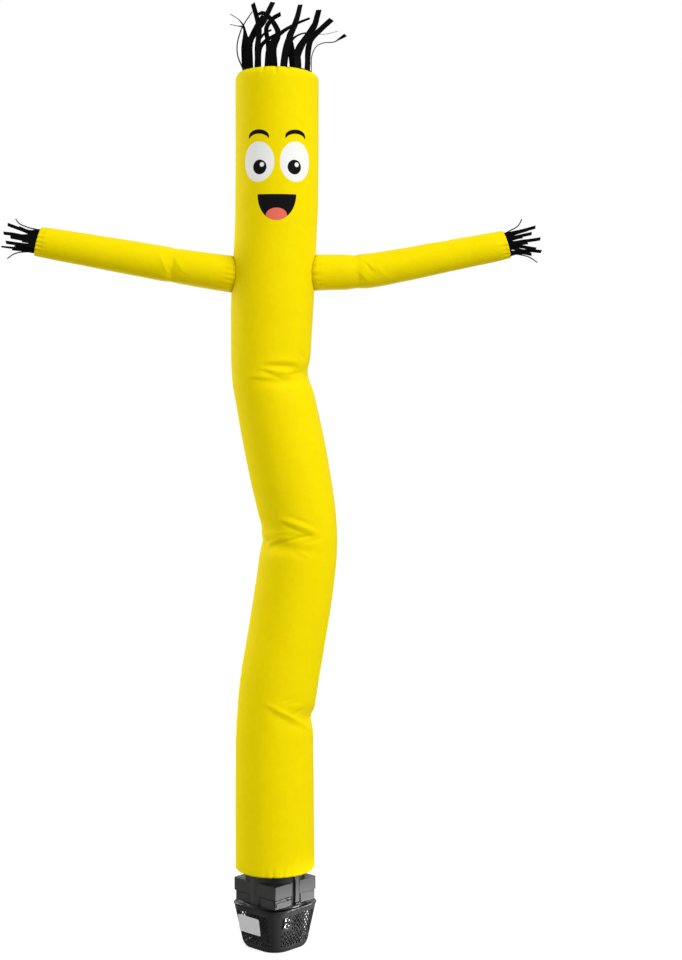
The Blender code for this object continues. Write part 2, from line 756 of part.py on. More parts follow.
def make_sleeve(name, side, rows):
    rings = []
    for row in rows:
        along = arm_tangent(rows, row.out, side)
        up = Vector((-side * along.z, 0, side * along.x))
        middle = Vector((side * row.out, 0, row.height))
        ring = []
        for index in range(SLEEVE_SEGMENTS):
            turn = 2 * math.pi * index / SLEEVE_SEGMENTS
            spread = up * math.cos(turn) + Vector((0, 1, 0)) * math.sin(turn)
            point = middle + spread * row.diameter / 2
            ring.append(onto_tube(point, along, side) if row is rows[0] else point)
        rings.append(ring)
    build = lambda shape: loft(shape, rings, caps=(False, False))
    thicken(add_object(name, mesh_from(name, build, True), NYLON), CLOTH)


def comb(shape, radius, band_height, strips):
    """A band round local Z from height 0, with a bent strip on every other segment."""
    segments = 2 * len(strips)
    inner, outer = radius - CLOTH, radius
    rings = []
    for reach, height in ((outer, 0), (outer, band_height), (inner, band_height), (inner, 0)):
        points = circle(reach, segments)
        rings.append([shape.verts.new((x, y, height)) for x, y in points])
    for level in range(4):
        lower, upper = rings[level], rings[(level + 1) % 4]
        for index in range(segments):
            following = (index + 1) % segments
            corners = (lower[index], lower[following], upper[following], upper[index])
            if level != 1 or index % 2:
                shape.faces.new(corners)
                continue
            grow_strip(shape, corners, strips[index // 2])


def grow_strip(shape, corners, strip):
    start = [vertex.co.copy() for vertex in corners]
    last = list(corners)
    for section in range(1, STRIP_SECTIONS + 1):
        share = section / STRIP_SECTIONS
        move = Vector((strip.lean_x * share**2, strip.lean_y * share**2, strip.rise * share))
        ends = [shape.verts.new(point + move) for point in start]
        for near in range(4):
            far = (near + 1) % 4
            shape.faces.new((last[near], last[far], ends[far], ends[near]))
        last = ends
    shape.faces.new(last)


def make_fringes():
    centre = read_rows(TUBE_ROWS, VENT_EDGE, "centre")
    build = lambda shape: comb(shape, HEAD_BAND_RADIUS, HEAD_BAND_HEIGHT, HEAD_STRIPS)
    place = Matrix.Translation((centre, 0, HEAD_BAND_BOTTOM))
    add_object("head_fringe", mesh_from("head_fringe", build), FRINGE, place)
    build = lambda shape: comb(shape, HAND_BAND_RADIUS, HAND_BAND_HEIGHT, HAND_STRIPS)
    for name, side, rows in (("left", -1, LEFT_ARM_ROWS), ("right", 1, RIGHT_ARM_ROWS)):
        along = arm_tangent(rows, rows[-1].out, side)
        up = Vector((-side * along.z, 0, side * along.x))
        across = along.cross(up)
        frame = Matrix((up, across, along)).transposed().to_4x4()
        mouth = Vector((side * rows[-1].out, 0, rows[-1].height))
        frame.translation = mouth - along * HAND_BAND_DEPTH
        add_object("hand_fringe_" + name, mesh_from("hand_fringe", build), FRINGE, frame)


make_base()
make_housing()
make_lid()
make_duct()
make_corner_boxes()
make_latch()
make_motor_and_fan()
make_label()
make_switches()
make_inlet()
make_body_tube()
make_sleeve("sleeve_left", -1, LEFT_ARM_ROWS)
make_sleeve("sleeve_right", 1, RIGHT_ARM_ROWS)
make_fringes()
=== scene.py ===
import math
import random
from collections import namedtuple

import bmesh
import bpy
import numpy as np
from mathutils import Matrix, Vector, noise


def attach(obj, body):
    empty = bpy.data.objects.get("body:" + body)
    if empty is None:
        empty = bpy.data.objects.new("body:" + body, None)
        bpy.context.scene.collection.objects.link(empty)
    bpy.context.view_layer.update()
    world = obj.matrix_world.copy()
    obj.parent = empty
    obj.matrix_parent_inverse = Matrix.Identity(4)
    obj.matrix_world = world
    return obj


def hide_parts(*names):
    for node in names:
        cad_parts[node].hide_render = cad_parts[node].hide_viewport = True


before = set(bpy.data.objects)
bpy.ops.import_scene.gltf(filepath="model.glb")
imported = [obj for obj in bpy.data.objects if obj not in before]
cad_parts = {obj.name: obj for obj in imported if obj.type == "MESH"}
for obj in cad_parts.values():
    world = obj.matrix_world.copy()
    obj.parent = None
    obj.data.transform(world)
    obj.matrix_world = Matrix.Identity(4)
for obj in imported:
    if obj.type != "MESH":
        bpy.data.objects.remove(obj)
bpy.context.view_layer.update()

# Studio: a camera at the dancer's chest height, looking a little down and to the right.
# The lens is long enough to keep the tube's two edges nearly parallel.
CAMERA_PLACE = (0.0, -3.4, 1.12)
CAMERA_DOWN = math.radians(3.665)
CAMERA_RIGHT = math.radians(2.155)
camera = bpy.data.objects.new("camera", bpy.data.cameras.new("camera"))
camera.data.sensor_fit = "VERTICAL"
camera.data.sensor_height = 36
camera.data.lens = 66.833
camera.data.clip_end = 60
camera.location = CAMERA_PLACE
camera.rotation_euler = (math.pi / 2 - CAMERA_DOWN, 0, -CAMERA_RIGHT)
bpy.context.scene.collection.objects.link(camera)
bpy.context.scene.camera = camera
bpy.context.scene.view_settings.view_transform = "Standard"


# Floor and light: a seamless paper floor that looks white to the camera under white
# surroundings, a large soft key lamp high on the right, rim lamps behind the left side and
# behind below the arms, and a low soft box beside the blower for its right-hand walls.
def feed(node, sockets):
    """Sets each of a node's sockets to a value, or links it to another node's output."""
    for socket, value in sockets.items():
        if isinstance(value, bpy.types.NodeSocket):
            node.id_data.links.new(value, node.inputs[socket])
        else:
            node.inputs[socket].default_value = value


def add_node(tree, kind, sockets=None, **settings):
    made = tree.nodes.new("ShaderNode" + kind)
    for name, value in settings.items():
        setattr(made, name, value)
    feed(made, sockets or {})
    return made


def new_material(name, sockets=None):
    """A material, and the tree that holds its surface shader."""
    made = bpy.data.materials.new(name)
    made.use_nodes = True
    feed(made.node_tree.nodes["Principled BSDF"], sockets or {})
    return made, made.node_tree


FLOOR_HALF = 30.0
FLOOR_GREYS = ((0.37, 0.37, 0.37, 1), (0.40, 0.40, 0.40, 1))
FLOOR_GLOW = 0.70
SKY_LIGHT = 0.72
SKY_SEEN = 1.0
WHITE = (1, 1, 1, 1)
world = bpy.data.worlds.new("white_studio")
world.use_nodes = True
bpy.context.scene.world = world
sky = world.node_tree
light = sky.nodes["Background"]
feed(light, {"Color": WHITE, "Strength": SKY_LIGHT})
seen = add_node(sky, "Background", {"Color": WHITE, "Strength": SKY_SEEN})
path = add_node(sky, "LightPath")
parts = {0: path.outputs["Is Camera Ray"], 1: light.outputs[0], 2: seen.outputs[0]}
both = add_node(sky, "MixShader", parts)
feed(sky.nodes["World Output"], {"Surface": both.outputs[0]})

floor_mesh = bpy.data.meshes.new("floor")
corners = ((-1, -1), (1, -1), (1, 1), (-1, 1))
floor_mesh.from_pydata([(FLOOR_HALF * x, FLOOR_HALF * y, 0) for x, y in corners], [], [range(4)])
floor = bpy.data.objects.new("floor", floor_mesh)
bpy.context.scene.collection.objects.link(floor)
paper, tree = new_material("white_paper", {"Roughness": 0.8, "Emission Color": WHITE})
cloud = add_node(tree, "TexNoise", {"Scale": 0.7, "Detail": 2.0})
greys = {0: cloud.outputs[0], 6: FLOOR_GREYS[0], 7: FLOOR_GREYS[1]}
tint = add_node(tree, "Mix", greys, data_type="RGBA")
path = add_node(tree, "LightPath")
glow = add_node(tree, "Math", {0: path.outputs["Is Camera Ray"], 1: FLOOR_GLOW}, operation="MULTIPLY")
surface = {"Base Color": tint.outputs[2], "Emission Strength": glow.outputs[0]}
feed(tree.nodes["Principled BSDF"], surface)
floor_mesh.materials.append(paper)

LampRow = namedtuple("LampRow", "name place target width height spread power")
LAMPS = (
    LampRow("key", (4.2, -4.6, 4.8), (0.0, 0.0, 0.9), 3.6, 3.6, 180, 310.0),
    LampRow("rim_left", (-3.6, 1.7, 1.6), (0.0, 0.0, 0.9), 1.2, 2.4, 180, 76.0),
    LampRow("rim_under", (0.0, 1.9, 0.12), (0.0, 0.0, 1.36), 1.6, 0.4, 180, 20.0),
    LampRow("low_right", (0.95, -0.16, 0.05), (0.0, -0.02, 0.035), 0.40, 0.09, 16, 0.62),
)
for row in LAMPS:
    lamp = bpy.data.objects.new(row.name, bpy.data.lights.new(row.name, "AREA"))
    lamp.data.shape = "RECTANGLE"
    lamp.data.size = row.width
    lamp.data.size_y = row.height
    lamp.data.spread = math.radians(row.spread)
    lamp.data.energy = row.power
    lamp.location = row.place
    lamp.visible_camera = False
    aim = Vector(row.target) - Vector(row.place)
    lamp.rotation_euler = aim.to_track_quat("-Z", "Y").to_euler()
    bpy.context.scene.collection.objects.link(lamp)


# Base plate: the blower stands on a shallow moulded tray of black plastic, a rounded square
# that is turned so that one corner faces the front. The housing drops over it.
def new_group(name, inputs, outputs):
    """A shader node group with named sockets, and its input and output nodes."""
    group = bpy.data.node_groups.new(name, "ShaderNodeTree")
    for label, kind, default in inputs:
        kind = "NodeSocket" + kind
        socket = group.interface.new_socket(label, in_out="INPUT", socket_type=kind)
        socket.default_value = default
    for label, kind in outputs:
        kind = "NodeSocket" + kind
        group.interface.new_socket(label, in_out="OUTPUT", socket_type=kind)
    return group, group.nodes.new("NodeGroupInput").outputs, group.nodes.new("NodeGroupOutput")


def maths(tree, operation, *values, clamp=False):
    numbered = dict(enumerate(values))
    return add_node(tree, "Math", numbered, operation=operation, use_clamp=clamp).outputs[0]


def blend_colours(tree, share, first, second):
    sockets = {0: share, 6: first, 7: second}
    return add_node(tree, "Mix", sockets, data_type="RGBA").outputs[2]


def cloudy(tree, scale, detail, spot=None):
    """Noise from 0 to 1 over a piece's own space, or over the places given."""
    spot = spot or add_node(tree, "TexCoord").outputs["Object"]
    return add_node(tree, "TexNoise", {"Vector": spot, "Scale": scale, "Detail": detail}).outputs[0]


def varied(tree, base, pattern, amount):
    """A base value made uneven by a pattern, by up to half the amount either way."""
    return maths(tree, "ADD", base, maths(tree, "MULTIPLY_ADD", pattern, amount, -amount / 2))


def finish_surface(tree, colour, roughness, height, strength, distance):
    """Feeds a material's surface shader, with the height as a bump of its strength."""
    bump = add_node(tree, "Bump", {"Strength": strength, "Distance": distance, "Height": height})
    surface = {"Base Color": colour, "Roughness": roughness, "Normal": bump.outputs[0]}
    feed(tree.nodes["Principled BSDF"], surface)


WEAR_AND_HIGHLIGHT_RADIUS = 0.0007
WEAR_AND_HIGHLIGHT_CONTRAST = 3.0
CLOUD_GLOSS = 0.16
GRAIN_GLOSS = 0.04
moulded_skin, given, result = new_group(
    "moulded_skin",
    (
        ("Colour", "Color", (0.02, 0.02, 0.02, 1)),
        ("Worn And Highlit Colour", "Color", (0.1, 0.1, 0.1, 1)),
        ("Roughness", "Float", 0.4),
        ("Grain Scale", "Float", 1800.0),
        ("Edge Wear And Highlight", "Float", 0.5),
    ),
    (("Colour", "Color"), ("Roughness", "Float"), ("Height", "Float")),
)
grain = cloudy(moulded_skin, given["Grain Scale"], 2.0)
cloud = cloudy(moulded_skin, 42.0, 4.0)
# Edges found by the bevel take the worn colour: wear, and on the dark plastics also a painted highlight.
rounded = add_node(moulded_skin, "Bevel", {"Radius": WEAR_AND_HIGHLIGHT_RADIUS}, samples=4)
facing = add_node(moulded_skin, "NewGeometry")
normals = {0: rounded.outputs[0], 1: facing.outputs["Normal"]}
match = add_node(moulded_skin, "VectorMath", normals, operation="DOT_PRODUCT")
edge = maths(moulded_skin, "SUBTRACT", 1.0, match.outputs["Value"])
edge = maths(moulded_skin, "MULTIPLY", edge, WEAR_AND_HIGHLIGHT_CONTRAST)
edge = maths(moulded_skin, "MULTIPLY", edge, cloud)
edge = maths(moulded_skin, "MULTIPLY", edge, given["Edge Wear And Highlight"], clamp=True)
gloss = varied(moulded_skin, given["Roughness"], cloud, CLOUD_GLOSS)
gloss = maths(moulded_skin, "MULTIPLY_ADD", grain, GRAIN_GLOSS, gloss)
coloured = blend_colours(moulded_skin, edge, given["Colour"], given["Worn And Highlit Colour"])
feed(result, {"Colour": coloured, "Roughness": gloss, "Height": grain})


def moulded_plastic(name, colour, worn, roughness, edge_wear_and_highlight=0.5, shine=0.36):
    """Injection-moulded plastic: fine spark-eroded grain, cloudy gloss, and a worn colour along the edges,
    which on the dark plastics is paler and is also a painted highlight.
    """
    made, tree = new_material(name, {"Specular IOR Level": shine})
    values = {
        "Colour": (*colour, 1),
        "Worn And Highlit Colour": (*worn, 1),
        "Roughness": roughness,
        "Edge Wear And Highlight": edge_wear_and_highlight,
    }
    skin = add_node(tree, "Group", values, node_tree=moulded_skin)
    finish_surface(tree, *skin.outputs, strength=0.35, distance=0.00006)
    return made


def loft(shape, rings, ring_closes=False):
    """Joins rings of equally many points, and caps both ends or joins the last to the first."""
    vertices = [[shape.verts.new(point) for point in ring] for ring in rings]
    pairs = list(zip(vertices, vertices[1:]))
    if ring_closes:
        pairs.append((vertices[-1], vertices[0]))
    count = len(vertices[0])
    for lower, upper in pairs:
        for index in range(count):
            following = (index + 1) % count
            shape.faces.new((lower[index], lower[following], upper[following], upper[index]))
    if not ring_closes:
        shape.faces.new(reversed(vertices[0]))
        shape.faces.new(vertices[-1])


def add_piece(name, shape, finish, nodes, body="dancer", sharp=35.0, closed=True, at=None):
    """Makes a piece from a bmesh, smooth below the sharp angle, or flat where it has none."""
    if at is not None:
        bmesh.ops.transform(shape, matrix=at, verts=shape.verts)
    if closed:
        bmesh.ops.recalc_face_normals(shape, faces=shape.faces)
    mesh = bpy.data.meshes.new(name)
    shape.to_mesh(mesh)
    shape.free()
    mesh.materials.append(finish)
    if sharp:
        mesh.shade_smooth()
        mesh.set_sharp_from_angle(angle=math.radians(sharp))
    else:
        mesh.shade_flat()
    made = bpy.data.objects.new(name, mesh)
    bpy.context.scene.collection.objects.link(made)
    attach(made, body)
    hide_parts(*nodes)
    return made


SQUARE_TURN = math.radians(45)
OUTLINE_STEPS = 128


def square_reach(turn, half, corner):
    """Distance from the centre to a rounded square's edge, at an angle from its side."""
    across, along = sorted((abs(math.cos(turn)), abs(math.sin(turn))))
    straight = half / along
    if straight * across <= half - corner:
        return straight
    inner = half - corner
    middle = inner * (across + along)
    return middle + math.sqrt(middle**2 - 2 * inner**2 + corner**2)


def round_turns(steps):
    return [2 * math.pi * index / steps for index in range(steps)]


def square_ring(height, half, corner):
    ring = []
    for turn in round_turns(OUTLINE_STEPS):
        reach = square_reach(turn - SQUARE_TURN, half, corner)
        ring.append((reach * math.cos(turn), reach * math.sin(turn), height))
    return ring


def table(kind, *rows):
    return tuple(kind(*row) for row in rows)


SquareRow = namedtuple("SquareRow", "height half corner")
BASE_ROWS = table(
    SquareRow,
    (0.0, 0.0488, 0.0320),
    (0.0005, 0.0498, 0.0326),
    (0.0014, 0.0505, 0.0331),
    (0.0036, 0.0518, 0.0338),
    (0.0040, 0.0514, 0.0334),
)
BLACK_PLASTIC = moulded_plastic("black_housing_plastic", (0.011,) * 3, (0.05,) * 3, 0.42, shine=0.27)
shape = bmesh.new()
loft(shape, [square_ring(*row) for row in BASE_ROWS])
add_piece("base_tray", shape, BLACK_PLASTIC, ["base_plate"])


# Housing: a tapered shell of black plastic, moulded as an open lattice of diamonds that lets
# the air in. The near and the back corner stay plain, and so do the places of the switches,
# the power inlet and the label.
WALL = 0.0018
HOUSING_ROWS = table(
    SquareRow,
    (0.0043, 0.0526, 0.0342),
    (0.0100, 0.0549, 0.0350),
    (0.0300, 0.0568, 0.0312),
    (0.0820, 0.0650, 0.0312),
)
BAND_STATIONS = 6
SIDE_STATIONS = 46
TURN_STATIONS = BAND_STATIONS + SIDE_STATIONS
BAND_WIDTH_LOW = 0.016
BAND_WIDTH_HIGH = 0.027
LATTICE_LEVELS = 13
LATTICE_BOTTOM = 0.0105
LEVEL_STEP = 0.00505
RIM_LEVELS = {-2: 0.0043, -1: 0.0075, 14: 0.0790, 15: 0.0820}
FOOT_STRIP = (-2, -1, 0)
TOP_STRIP = (LATTICE_LEVELS, 14, 15)
OPEN_SHARE = 0.82
LATTICE_EDGE = 0.0003

LABEL_WIDTH = 0.057
LABEL_HEIGHT = 0.034
LABEL_ACROSS = -0.010
LABEL_CENTRE = 0.0485
SWITCH_WIDTH = 0.018
SWITCH_HEIGHT = 0.0106
SWITCH_PITCH = 0.0114
SWITCH_ACROSS = -0.030
SWITCH_CENTRE = 0.0610
INLET_WIDTH = 0.011
INLET_HEIGHT = 0.011
INLET_ACROSS = 0.026
INLET_CENTRE = 0.0175
GAP = 0.0003
WALL_REACH = 0.01
LEFT_FRONT = math.radians(-135)
RIGHT_FRONT = math.radians(-45)


def housing_section(height):
    """Half width and corner radius of the housing at a height."""
    heights, halves, corners = zip(*HOUSING_ROWS)
    return float(np.interp(height, heights, halves)), float(np.interp(height, heights, corners))


def side_length(half, corner):
    return 2 * (half - corner) + corner * math.pi / 2


def wall_point(reach, height):
    """Point on the housing at a distance anticlockwise round its section from the near corner."""
    half, corner = housing_section(height)
    length, bend = side_length(half, corner), corner * math.pi / 4
    side, along = divmod(reach, length)
    start = math.radians(-90 + 90 * side)
    normal = Vector((math.cos(start + math.pi / 4), math.sin(start + math.pi / 4)))
    right = Vector((-normal.y, normal.x))
    straight = 2 * (half - corner)
    if bend < along < bend + straight:
        place = normal * half + right * (along - bend - straight / 2)
    else:
        last = along > bend
        turn = start + (math.pi / 4 + (along - bend - straight) / corner if last else along / corner)
        middle = (normal + (right if last else -right)) * (half - corner)
        place = middle + corner * Vector((math.cos(turn), math.sin(turn)))
    return Vector((place.x, place.y, height))


def station_point(station, level):
    """Point at a station round the shell, counted from the near band's left edge."""
    height = RIM_LEVELS.get(level, LATTICE_BOTTOM + LEVEL_STEP * level)
    share = (height - LATTICE_BOTTOM) / (LEVEL_STEP * LATTICE_LEVELS)
    band = BAND_WIDTH_LOW + share * (BAND_WIDTH_HIGH - BAND_WIDTH_LOW)
    half_turn = 2 * side_length(*housing_section(height))
    turns, past = divmod(station, TURN_STATIONS)
    if past <= BAND_STATIONS:
        reach = -band / 2 + band * past / BAND_STATIONS
    else:
        reach = band / 2 + (half_turn - band) * (past - BAND_STATIONS) / SIDE_STATIONS
    return wall_point((reach + turns * half_turn) % (2 * half_turn), height)


def wall_matrix(side_turn, across, height, proud=0.0):
    """Frame on a housing wall: X to the right along it, Y up its slope, Z out of it."""
    low, high = HOUSING_ROWS[-2:]
    slope = math.atan2(high.half - low.half, high.height - low.height)
    level = Vector((math.cos(side_turn), math.sin(side_turn), 0))
    upright = Vector((0, 0, 1))
    right = upright.cross(level)
    normal = level * math.cos(slope) - upright * math.sin(slope)
    up = normal.cross(right)
    half = housing_section(height)[0]
    place = level * half + upright * height + right * across + normal * proud
    matrix = Matrix((right, up, normal)).transposed().to_4x4()
    matrix.translation = place
    return matrix


def within(into_frame, place, half_width, half_height):
    """Whether a place lies over a rectangle in the middle of a wall's frame."""
    local = into_frame @ place
    return abs(local.x) < half_width and abs(local.y) < half_height and abs(local.z) < WALL_REACH


WindowRow = namedtuple("WindowRow", "frame width height")
SWITCHES_FRAME = wall_matrix(RIGHT_FRONT, SWITCH_ACROSS, SWITCH_CENTRE)
INLET_FRAME = wall_matrix(RIGHT_FRONT, INLET_ACROSS, INLET_CENTRE)
WINDOWS = (
    WindowRow(SWITCHES_FRAME, SWITCH_WIDTH + 2 * GAP, 2 * SWITCH_PITCH),
    WindowRow(INLET_FRAME, INLET_WIDTH + 2 * GAP, INLET_HEIGHT + 2 * GAP),
)
LABEL_FRAME = wall_matrix(LEFT_FRONT, LABEL_ACROSS, LABEL_CENTRE)
TILE_REACH = 0.0045


def stays_plain(place):
    """Whether a lattice tile is filled in: beside a window, or wholly under the label."""
    for row in WINDOWS:
        half_width, half_height = row.width / 2 + TILE_REACH, row.height / 2 + TILE_REACH
        if within(row.frame.inverted(), place, half_width, half_height):
            return True
    inner_width, inner_height = LABEL_WIDTH / 2 - TILE_REACH, LABEL_HEIGHT / 2 - TILE_REACH
    return within(LABEL_FRAME.inverted(), place, inner_width, inner_height)


class Shell:
    """A surface whose vertices are shared by station and level."""

    def __init__(self):
        self.shape, self.known = bmesh.new(), {}

    def corner(self, station, level):
        station = station % (2 * TURN_STATIONS)
        key = (round(station, 3), round(level, 3))
        if key not in self.known:
            self.known[key] = self.shape.verts.new(station_point(station, level))
        return self.known[key]

    def face(self, places):
        self.shape.faces.new([self.corner(*place) for place in places])

    def strip(self, stations, levels):
        """Quads between neighbouring stations and neighbouring levels."""
        for left, right in zip(stations, stations[1:]):
            for low, high in zip(levels, levels[1:]):
                self.face(((left, low), (right, low), (right, high), (left, high)))


def add_tile(shell, first, column, level):
    """A diamond of the lattice: an open frame, or filled at a border or a plain place."""
    around = [(column + 1, level), (column, level + 1), (column - 1, level), (column, level - 1)]
    here = [(c, n) for c, n in around if 0 <= c <= SIDE_STATIONS and 0 <= n <= LATTICE_LEVELS]
    if len(here) == 2:
        here.append((column, level))
    places = [(first + c, n) for c, n in here]
    if len(here) < 4 or stays_plain(station_point(first + column, level)):
        shell.face(places)
        return
    inner = [
        (first + column + OPEN_SHARE * (c - column), level + OPEN_SHARE * (n - level)) for c, n in here
    ]
    for index in range(4):
        following = (index + 1) % 4
        shell.face((places[index], places[following], inner[following], inner[index]))


def open_window(shape, row):
    """Cuts a rectangular opening into the surface, and takes out what lies in it."""
    back = row.frame.inverted()
    for axis, half in ((0, row.width / 2), (1, row.height / 2)):
        for sign in (-1, 1):
            offset = Vector((0, 0, 0))
            offset[axis] = sign * half
            near = [
                face
                for face in shape.faces
                if within(back, face.calc_center_median(), row.width, row.height)
            ]
            near += list({edge for face in near for edge in face.edges})
            near += list({vert for item in near for vert in getattr(item, "verts", ())})
            bmesh.ops.bisect_plane(
                shape,
                geom=list(dict.fromkeys(near)),
                plane_co=row.frame @ offset,
                plane_no=row.frame.col[axis].to_3d(),
            )
    inside = [
        face
        for face in shape.faces
        if within(back, face.calc_center_median(), row.width / 2, row.height / 2)
    ]
    bmesh.ops.delete(shape, geom=inside, context="FACES")


def thicken(piece, thickness):
    """Gives an open surface its thickness, all of it on the inner side."""
    modifier = piece.modifiers.new("thickness", "SOLIDIFY")
    modifier.thickness = thickness
    modifier.offset = -1.0


def round_edges(piece, width, segments=2, angle=30.0):
    modifier = piece.modifiers.new("rounded_edges", "BEVEL")
    modifier.width = width
    modifier.segments = segments
    modifier.limit_method = "ANGLE"
    modifier.angle_limit = math.radians(angle)


shell = Shell()
for turn in (0, TURN_STATIONS):
    band = [turn + station for station in range(BAND_STATIONS + 1)]
    shell.strip(band, [0] + list(range(1, LATTICE_LEVELS + 1, 2)))
    first = turn + BAND_STATIONS
    last = first + SIDE_STATIONS
    low_side = [first] + list(range(first + 1, last, 2)) + [last]
    high_side = list(range(first, last + 1, 2))
    shell.strip(band[:-1] + low_side, FOOT_STRIP)
    shell.strip(band[:-1] + high_side, TOP_STRIP)
    for column in range(SIDE_STATIONS + 1):
        for level in range(column % 2, LATTICE_LEVELS + 1, 2):
            add_tile(shell, first, column, level)
for row in WINDOWS:
    open_window(shell.shape, row)
housing = add_piece(
    "lattice_housing",
    shell.shape,
    BLACK_PLASTIC,
    ["housing_shell"],
    sharp=60.0,
    closed=False,
)
thicken(housing, WALL)
round_edges(housing, LATTICE_EDGE, segments=1, angle=40.0)
even = housing.modifiers.new("even_shading", "WEIGHTED_NORMAL")
even.weight = 100


# Lid: a rounded-square cover of grey-black plastic that sits on the housing, with a low
# collar round the duct.
LID_ROWS = table(
    SquareRow,
    (0.0827, 0.0650, 0.0302),
    (0.0832, 0.0656, 0.0304),
    (0.0842, 0.0657, 0.0305),
    (0.0851, 0.0652, 0.0302),
    (0.0855, 0.0643, 0.0300),
    (0.0852, 0.0634, 0.0300),
    (0.0844, 0.0627, 0.0300),
)
TurnRow = namedtuple("TurnRow", "radius height")
COLLAR_ROWS = table(
    TurnRow,
    (0.0624, 0.0843),
    (0.0618, 0.0846),
    (0.0615, 0.0853),
    (0.0614, 0.0885),
    (0.0612, 0.0888),
    (0.0582, 0.0888),
    (0.0580, 0.0885),
    (0.0580, 0.0827),
)


def circle(radius, height, turns):
    return [(radius * math.cos(turn), radius * math.sin(turn), height) for turn in turns]


def turned_rings(rows, steps):
    """Rings of points round the Z axis, one for each row of radius and height."""
    return [circle(row.radius, row.height, round_turns(steps)) for row in rows]


LID_PLASTIC = moulded_plastic("black_lid_plastic", (0.006,) * 3, (0.03,) * 3, 0.36, shine=0.24)
shape = bmesh.new()
rings = [square_ring(*row) for row in LID_ROWS] + turned_rings(COLLAR_ROWS, OUTLINE_STEPS)
loft(shape, rings, ring_closes=True)
add_piece("lid_moulding", shape, LID_PLASTIC, ["housing_lid"])


# Duct and flange: one turned moulding that guides the air up. Its flange holds the hem of the
# cloth tube. Its lower end widens to a square skirt inside the housing, open near the foot,
# which is there as a dark sheet behind the lattice to keep its holes black: painted shade.
DUCT_ROWS = table(
    TurnRow,
    (0.0722, 0.1535),
    (0.0728, 0.1532),
    (0.0730, 0.1527),
    (0.0730, 0.1516),
    (0.0728, 0.1512),
    (0.0724, 0.1510),
    (0.0586, 0.1510),
    (0.0575, 0.1506),
    (0.0570, 0.1496),
    (0.0570, 0.0762),
)
# The skirt behind the lattice: a dark sheet that stands for the shade inside the housing.
SHADE_SKIRT_ROWS = table(
    SquareRow,
    (0.0700, 0.0515, 0.0400),
    (0.0222, 0.0480, 0.0280),
    (0.0220, 0.0476, 0.0276),
    (0.0220, 0.0466, 0.0266),
    (0.0222, 0.0462, 0.0262),
    (0.0700, 0.0500, 0.0385),
)
DUCT_INNER_ROWS = table(
    TurnRow,
    (0.0555, 0.0762),
    (0.0555, 0.1520),
    (0.0558, 0.1530),
    (0.0565, 0.1535),
)
DUCT_PLASTIC = moulded_plastic("duct_plastic", (0.020,) * 3, (0.06,) * 3, 0.38)
shape = bmesh.new()
shade_skirt = [square_ring(*row) for row in SHADE_SKIRT_ROWS]
outer, inner = (turned_rings(rows, OUTLINE_STEPS) for rows in (DUCT_ROWS, DUCT_INNER_ROWS))
loft(shape, outer + shade_skirt + inner, ring_closes=True)
add_piece("duct_moulding", shape, DUCT_PLASTIC, ["duct_flange"])


# Corner boxes: four grey plastic boxes stand on the lid's corners round the duct. Each has a
# wide upper part over a narrower lower one, with a parting groove under the step.
BOX_HALF = 0.0563
BOX_START = 0.0090
BOX_BOTTOM = 0.0893
BOX_STEP = 0.108
BOX_TOP = 0.133
BOX_DUCT_RADIUS = 0.0562
BOX_ARC_STEPS = 14
BOX_CORNER = 0.0015
BOX_GROOVE = (0.1062, 0.1072)
BOX_GROOVE_DEPTH = 0.0010
BOX_EDGE = 0.0003
# The lower part is set in on its two faces, and at the two ends of them beside the duct.
BoxRow = namedtuple("BoxRow", "side turn inset left_end right_end")
BOX_ROWS = table(
    BoxRow,
    ("front", -90, 0.0024, 0.0080, 0.0010),
    ("right", 0, 0.0015, 0.0015, 0.0040),
    ("back", 90, 0.0015, 0.0040, 0.0040),
    ("left", 180, 0.0022, 0.0040, 0.0040),
)


def box_outline(inset, left_end, right_end):
    """A corner of the square outside the duct, in the frame whose corner is at +X."""
    half = BOX_HALF - inset
    left, right = BOX_START + left_end, BOX_START + right_end
    side = [(right, half), (half - BOX_CORNER, half), (half, half - BOX_CORNER), (half, left)]
    first = math.asin(left / BOX_DUCT_RADIUS)
    last = math.pi / 2 - math.asin(right / BOX_DUCT_RADIUS)
    arc = []
    for index in range(BOX_ARC_STEPS + 1):
        turn = first + (last - first) * index / BOX_ARC_STEPS
        arc.append((BOX_DUCT_RADIUS * math.cos(turn), BOX_DUCT_RADIUS * math.sin(turn)))
    turn_back = Matrix.Rotation(-math.pi / 4, 2)
    return [tuple(turn_back @ Vector(point)) for point in side + arc]


def lifted(outline, height):
    return [(x, y, height) for x, y in outline]


def add_block(shape, frame_here, low, high):
    """A block between two corners of a frame."""
    made = bmesh.ops.create_cube(shape, size=1.0)["verts"]
    size = [b - a for a, b in zip(low, high)]
    middle = [(a + b) / 2 for a, b in zip(low, high)]
    place = frame_here @ Matrix.Translation(middle) @ Matrix.Diagonal((*size, 1))
    bmesh.ops.transform(shape, matrix=place, verts=made)


def face_frame(side_turn, half):
    """Frame on an upright wall: X to the right along it, Y up, Z out of it."""
    level = Vector((math.cos(side_turn), math.sin(side_turn), 0))
    upright = Vector((0, 0, 1))
    matrix = Matrix((upright.cross(level), upright, level)).transposed().to_4x4()
    matrix.translation = level * half
    return matrix


BlockRow = namedtuple("BlockRow", "side_turn inset left right low high proud")
BLOCK_ROOT = -0.003
# Plates over the front box's lower part, with gaps round a door and above its catch.
FRONT_BOX_PLATES = table(
    BlockRow,
    (LEFT_FRONT, 0.0006, 0.0172, 0.0557, 0.0893, 0.1062, 0.0),
    (RIGHT_FRONT, 0.0006, -0.0557, -0.0530, 0.0893, 0.1062, 0.0),
    (RIGHT_FRONT, 0.0006, -0.0530, -0.0270, 0.1024, 0.1062, 0.0),
    (RIGHT_FRONT, 0.0006, -0.0270, -0.0225, 0.1048, 0.1062, 0.0),
    (RIGHT_FRONT, 0.0006, -0.0225, -0.0102, 0.1024, 0.1062, 0.0),
    (RIGHT_FRONT, 0.0006, -0.0518, -0.0125, 0.0897, 0.1013, 0.0006),
)

